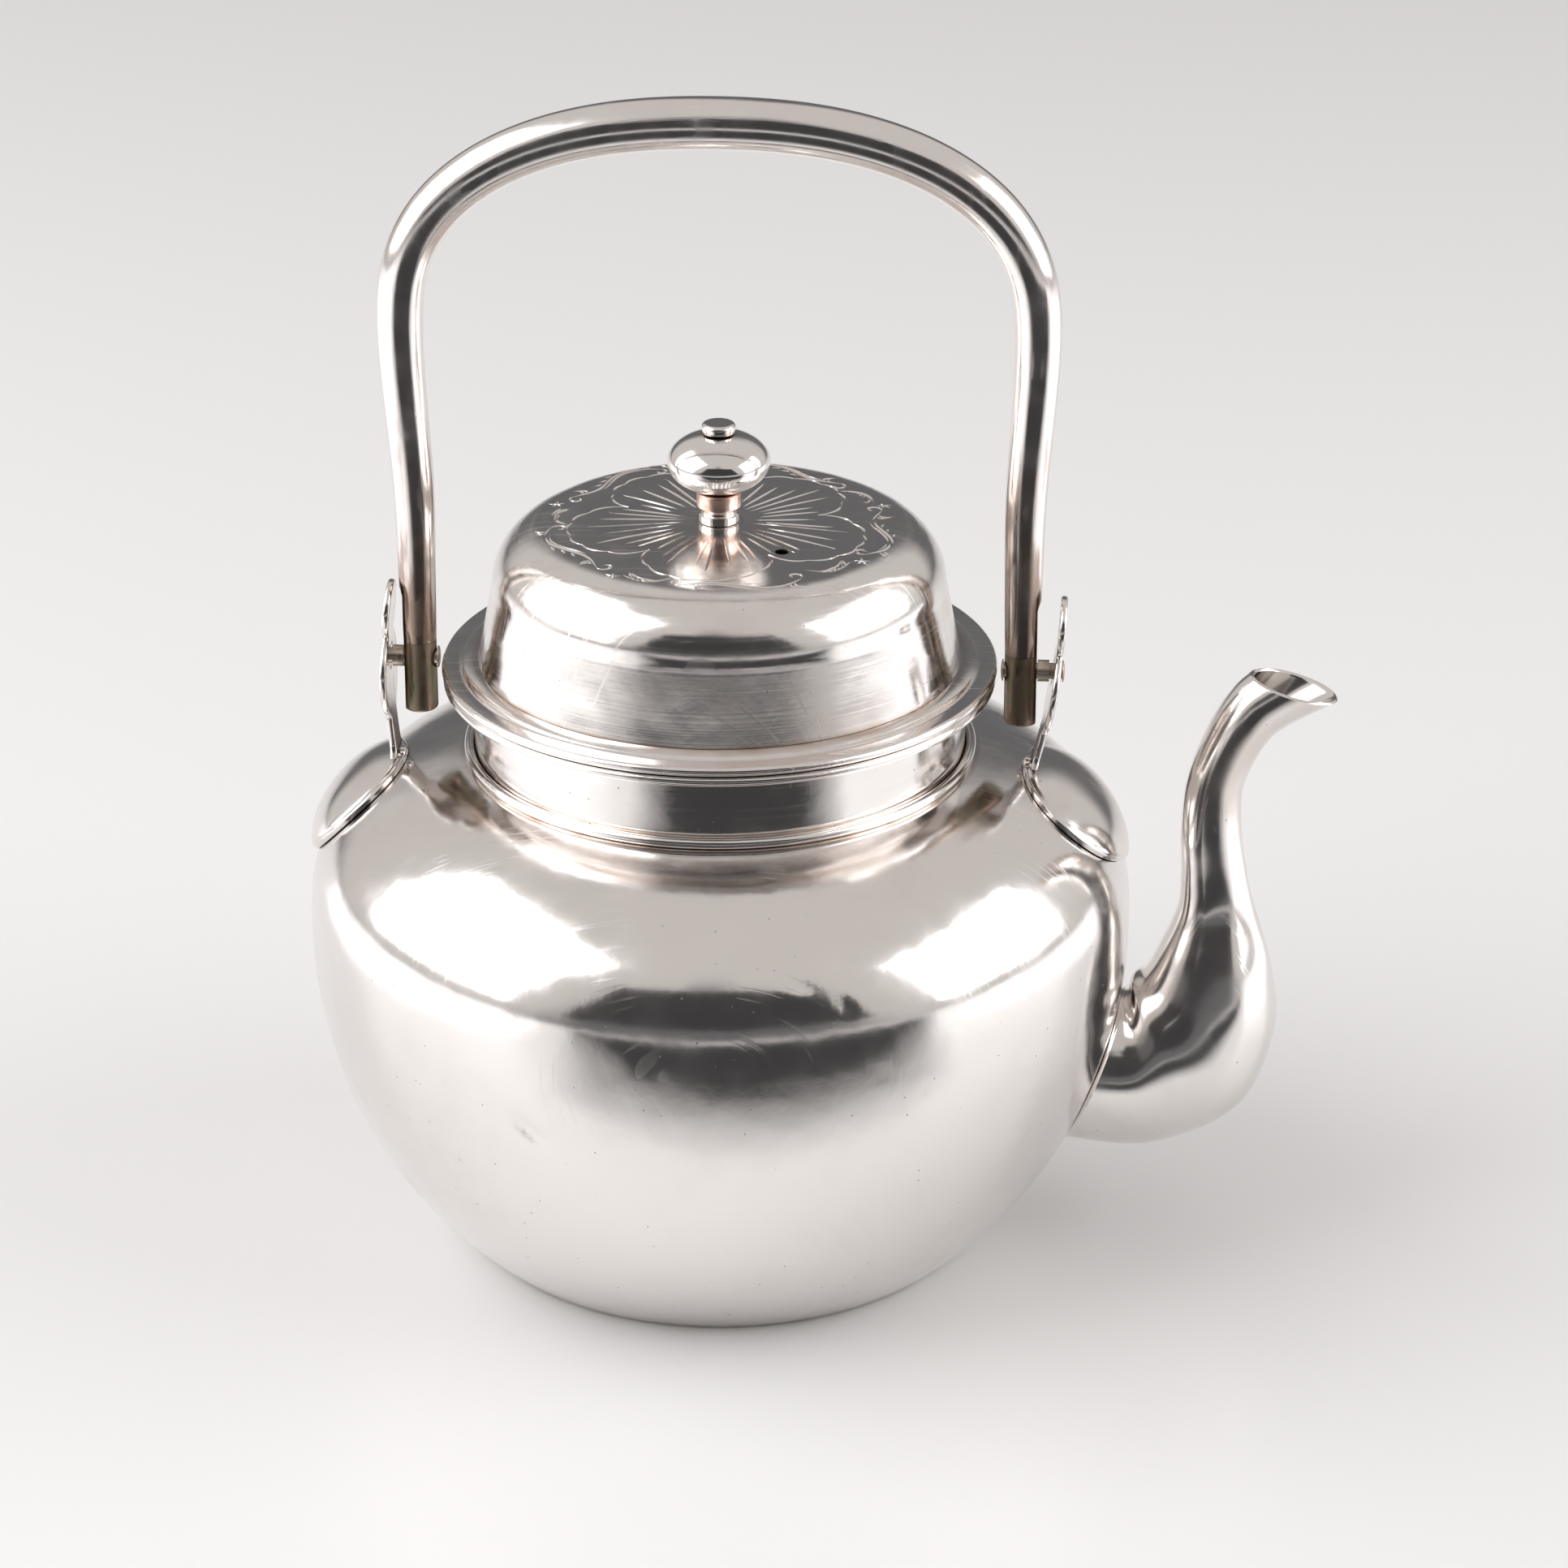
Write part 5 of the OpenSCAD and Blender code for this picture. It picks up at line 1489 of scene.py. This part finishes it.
class TEAPOT_OT_knob(bpy.types.Operator):
    """Turn the knob's washer, sleeve and ball, and rivet them through the dome"""
    bl_idname = "teapot.knob"
    bl_label = "Knob"

    def execute(self, context):
        lid, colours = context.scene.teapot_lid, context.scene.teapot_finish
        hole_r = lid.rivet_d / 2 + SEAM
        washer_z = lid.dome_z + lid.dome_h + SEAM
        sleeve_z = washer_z + lid.washer_h + SEAM
        ball_z = sleeve_z + lid.sleeve_h + SEAM
        button_z = ball_z + lid.ball_h + SEAM
        silver = worn_silver("knob silver", colours, tarnish=0.4, rough=0.085, tarnish_low=0.52)
        worn = tuple(0.45 * a + 0.55 * b for a, b in zip(colours.copper, colours.silver))
        copper = base_metal("worn copper", worn, tuple(0.6 * c for c in colours.copper), rough=0.17, share=0.75)

        groove = lid.washer_h / 3
        washer_r, top = lid.washer_d / 2, washer_z + lid.washer_h
        profile = ([(hole_r, washer_z), (washer_r - 0.0002, washer_z), (washer_r, washer_z + 0.0002),
                    (washer_r, top - groove - 0.0001)]
                   + arc(washer_r + groove / 3, top, groove, 250, 185, 8)
                   + [(washer_r - groove * 0.72, top), (hole_r, top)])
        turned_piece("knob_washer_turned", profile, 96, (silver, "lid", "knob_silver", "knob_washer"), sharp=40,
                     dirt=lambda x, y, z: 0.6 * near(z, washer_z, 0.0003) + 0.6 * near(z, top - 0.0003, 0.0004))

        sleeve_r, waist = lid.sleeve_d / 2, (lid.sleeve_d - lid.waist_d) / 2
        top = sleeve_z + lid.sleeve_h
        profile = ([(hole_r, sleeve_z)] + arc(sleeve_r, sleeve_z, waist, 180, 90, 12)
                   + [(sleeve_r, top - 0.0004)] + arc(sleeve_r - 0.0004, top - 0.0004, 0.0004, 0, 90, 5)[1:]
                   + [(hole_r, top)])
        wobble = Ripple(53, 0.00007, turns=(1, 4), pitch=(100, 500))
        turned_piece("knob_sleeve_turned", profile, 96, (copper, "lid", "worn_copper", "knob_sleeve"),
                     lambda a, r, z: (r + wobble(a, z) * (r > hole_r + 0.0002), z), sharp=40)

        ball_r = lid.ball_d / 2
        start = math.asin(hole_r / ball_r)
        turns = [w for (w,) in line((start - math.pi / 2,), (math.pi / 2 - start,), 72)]
        profile = [(ball_r * math.cos(w), ball_z + lid.ball_h / 2 * (1 + math.sin(w))) for w in turns]
        dint = Ripple(57, 0.00009, turns=(2, 6), pitch=(100, 420))
        turned_piece("knob_ball_spun", profile, 160, (silver, "lid", "knob_silver", "knob_ball"),
                     lambda a, r, z: (r + dint(a, z) * (r > hole_r + 0.0005), z), sharp=60,
                     dirt=lambda x, y, z: 0.6 * near(np.hypot(x, y), lid.button_d / 2, 0.0003)
                     * (z > ball_z + lid.ball_h * 0.8))

        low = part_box("knob_rivet")[0]
        tail_z = lid.dome_z + lid.dome_h - lid.sheet - 2 * SEAM - 0.0008
        edge = lid.button_h * 0.45
        r, button_r = lid.rivet_d / 2, lid.button_d / 2
        profile = ([(0.0, low.z), (r * 0.9, low.z + 0.0001), (r * 1.4, tail_z - 0.0004), (r * 1.4, tail_z), (r, tail_z),
                    (r, button_z), (button_r - 0.0001, button_z)]
                   + arc(button_r - edge, button_z + lid.button_h - edge, edge, 0, 90, 9)
                   + [(button_r * 0.3, button_z + lid.button_h), (0.0, button_z + lid.button_h)])
        turned_piece("knob_rivet_peened", profile, 72, (silver, "lid", "knob_silver", "knob_rivet"),
                     closed=False, sharp=50, dirt=lambda x, y, z: 0.8 * near(z, button_z, 0.0003))
        return {"FINISHED"}


# ---------------------------------------------------------------------------------------
# Stage
# ---------------------------------------------------------------------------------------

def card_glow(name, glow):
    """The look of a card that only the metal's reflections show, fading out at its edges."""
    made = bpy.data.materials.new(name)
    made.use_nodes = True
    tree = made.node_tree
    tree.nodes.clear()
    kinds = ("LightPath", "Emission", "BsdfTransparent", "MixShader", "OutputMaterial", "Attribute", "Math")
    way, light, clear, mix, out, share, times = (tree.nodes.new("ShaderNode" + kind) for kind in kinds)
    light.inputs["Color"].default_value = (glow, glow * 0.975, glow * 1.0, 1)
    share.attribute_name = "cover"
    times.operation = "MULTIPLY"
    join_up(tree, (way.outputs["Is Glossy Ray"], times.inputs[0]), (share.outputs["Fac"], times.inputs[1]),
            (times.outputs[0], mix.inputs[0]), (clear.outputs[0], mix.inputs[1]),
            (light.outputs[0], mix.inputs[2]), (mix.outputs[0], out.inputs[0]))
    return made


def card(name, corners, fade, glow):
    """A flat card between four corners that fades over a share of its size along its edges."""
    corners = [Vector(c) for c in corners]
    middle = sum(corners, Vector()) / 4
    inside = [middle + (c - middle) * (1 - fade) for c in corners]
    obj = new_object(name, corners + inside, ring_faces(0, 4, 4) + [(4, 5, 6, 7)])
    cover = obj.data.attributes.new("cover", "FLOAT", "POINT")
    for k, vertex in enumerate(obj.data.vertices):
        cover.data[k].value = float(min((vertex.co - c).length for c in inside) < 0.0001)
    obj.data.materials.append(card_glow(name, glow))


def floor_fan(left, right, near_r, far_r):
    """Corners on the floor between two directions, measured from the front, right side positive."""
    return [(r * math.sin(math.radians(a)), -r * math.cos(math.radians(a)), 0.002)
            for a, r in ((left, near_r), (right, near_r), (right, far_r), (left, far_r))]


def softbox(name, direction, elevation, distance, width, height, radiance):
    """A softbox that faces the pot from a direction measured from the front, right side positive."""
    a, e, pot = math.radians(direction), math.radians(elevation), Vector((0, 0, 0.06))
    centre = pot + distance * Vector((math.sin(a) * math.cos(e), -math.cos(a) * math.cos(e), math.sin(e)))
    data = bpy.data.lights.new(name, "AREA")
    data.shape = "RECTANGLE"
    data.size, data.size_y = width, height
    data.energy = radiance * math.pi * width * height
    obj = bpy.data.objects.new(name, data)
    obj.location = centre
    obj.rotation_euler = (pot - centre).to_track_quat("-Z", "Y").to_euler()
    bpy.context.scene.collection.objects.link(obj)


def room_light(stage):
    """Light from dim walls in front and behind, and from a pale ceiling that comes lower at both sides."""
    world = bpy.data.worlds.new("room")
    world.use_nodes = True
    tree = world.node_tree
    way, parts, aside, height, share, mix = (tree.nodes.new("ShaderNode" + kind) for kind in (
        "TexCoord", "SeparateXYZ", "Math", "Math", "MapRange", "Mix"))
    aside.operation, height.operation = "ABSOLUTE", "ADD"
    mix.data_type = "RGBA"
    share.interpolation_type = "SMOOTHSTEP"
    share.inputs["From Min"].default_value = stage.ceiling_from
    share.inputs["From Max"].default_value = stage.ceiling_to
    mix.inputs[6].default_value = (*stage.wall_colour, 1.0)
    mix.inputs[7].default_value = (*stage.ceiling_colour, 1.0)
    join_up(tree, (way.outputs["Generated"], parts.inputs[0]), (parts.outputs["X"], aside.inputs[0]),
            (aside.outputs[0], height.inputs[0]), (parts.outputs["Z"], height.inputs[1]),
            (height.outputs[0], share.inputs["Value"]), (share.outputs["Result"], mix.inputs[0]),
            (mix.outputs[2], tree.nodes["Background"].inputs["Color"]))
    return world


class TEAPOT_OT_stage(bpy.types.Operator):
    """Lay the pale floor, set the room's light, the softboxes and cards, and place the camera"""
    bl_idname = "teapot.stage"
    bl_label = "Floor, light and camera"

    def execute(self, context):
        stage = context.scene.teapot_stage
        paper = plain_paint("floor paper", stage.floor_colour, 0.35)
        floor = new_object("floor", [(-3, -3, 0), (3, -3, 0), (3, 3, 0), (-3, 3, 0)], [(0, 1, 2, 3)])
        floor.data.materials.append(paper)
        context.scene.world = room_light(stage)
        softbox("left softbox", -79, 33, 1.2, 1.35, 1.30, stage.softbox_level)
        softbox("right softbox", 86, 24, 1.2, 1.1, 0.9, stage.softbox_level)
        card("dark card", [(x, -1.05 - 0.5 * (z - 0.62), z) for x, z in (
            (-0.62, 0.13), (0.82, 0.13), (0.82, 1.10), (-0.62, 1.10))], 0.05, stage.dark_level)
        card("dark floor card", floor_fan(-36, 60, 0.14, 1.15), 0.22, stage.dark_level)
        card("left floor reflector", floor_fan(-128, -40, 0.25, 0.95), 0.18, stage.reflector_level)
        card("right floor reflector", floor_fan(64, 128, 0.25, 0.95), 0.18, stage.reflector_level)
        camera = bpy.data.cameras.new("camera")
        camera.lens, camera.sensor_width = stage.lens, 36.0
        eye = bpy.data.objects.new("camera", camera)
        eye.location = stage.camera_place
        eye.rotation_euler = (math.pi / 2 - stage.camera_down, 0.0, stage.camera_left)
        context.scene.collection.objects.link(eye)
        context.scene.camera = eye
        context.scene.view_settings.view_transform = "Standard"
        return {"FINISHED"}


# ---------------------------------------------------------------------------------------
# Panel and run
# ---------------------------------------------------------------------------------------

STEPS = (TEAPOT_OT_body, TEAPOT_OT_neck, TEAPOT_OT_spout, TEAPOT_OT_ears, TEAPOT_OT_pins, TEAPOT_OT_bail,
         TEAPOT_OT_lid, TEAPOT_OT_knob, TEAPOT_OT_stage)


class TEAPOT_PT_panel(bpy.types.Panel):
    """The teapot's steps and sizes in the sidebar"""
    bl_idname = "TEAPOT_PT_panel"
    bl_label = "Silver teapot"
    bl_space_type = "VIEW_3D"
    bl_region_type = "UI"
    bl_category = "Teapot"

    def draw(self, context):
        for step in STEPS:
            self.layout.operator(step.bl_idname)
        for key, group in SETTINGS.items():
            column = self.layout.box().column()
            column.label(text=group.__doc__)
            for item in group.__annotations__:
                column.prop(getattr(context.scene, key), item)


def register():
    """Adds the settings, steps and panel."""
    for group in SETTINGS.values():
        bpy.utils.register_class(group)
    for key, group in SETTINGS.items():
        setattr(bpy.types.Scene, key, bpy.props.PointerProperty(type=group))
    for step in STEPS + (TEAPOT_PT_panel,):
        bpy.utils.register_class(step)


def unregister():
    """Removes them again."""
    for step in (TEAPOT_PT_panel,) + STEPS[::-1]:
        bpy.utils.unregister_class(step)
    for key in SETTINGS:
        delattr(bpy.types.Scene, key)
    for group in reversed(list(SETTINGS.values())):
        bpy.utils.unregister_class(group)


def main():
    """Runs every step in order."""
    register()
    for step in STEPS:
        group, name = step.bl_idname.split(".")
        result = getattr(getattr(bpy.ops, group), name)()
        if result != {"FINISHED"}:
            raise RuntimeError(f"{step.bl_idname} ended with {result}")


if __name__ == "__main__":
    main()
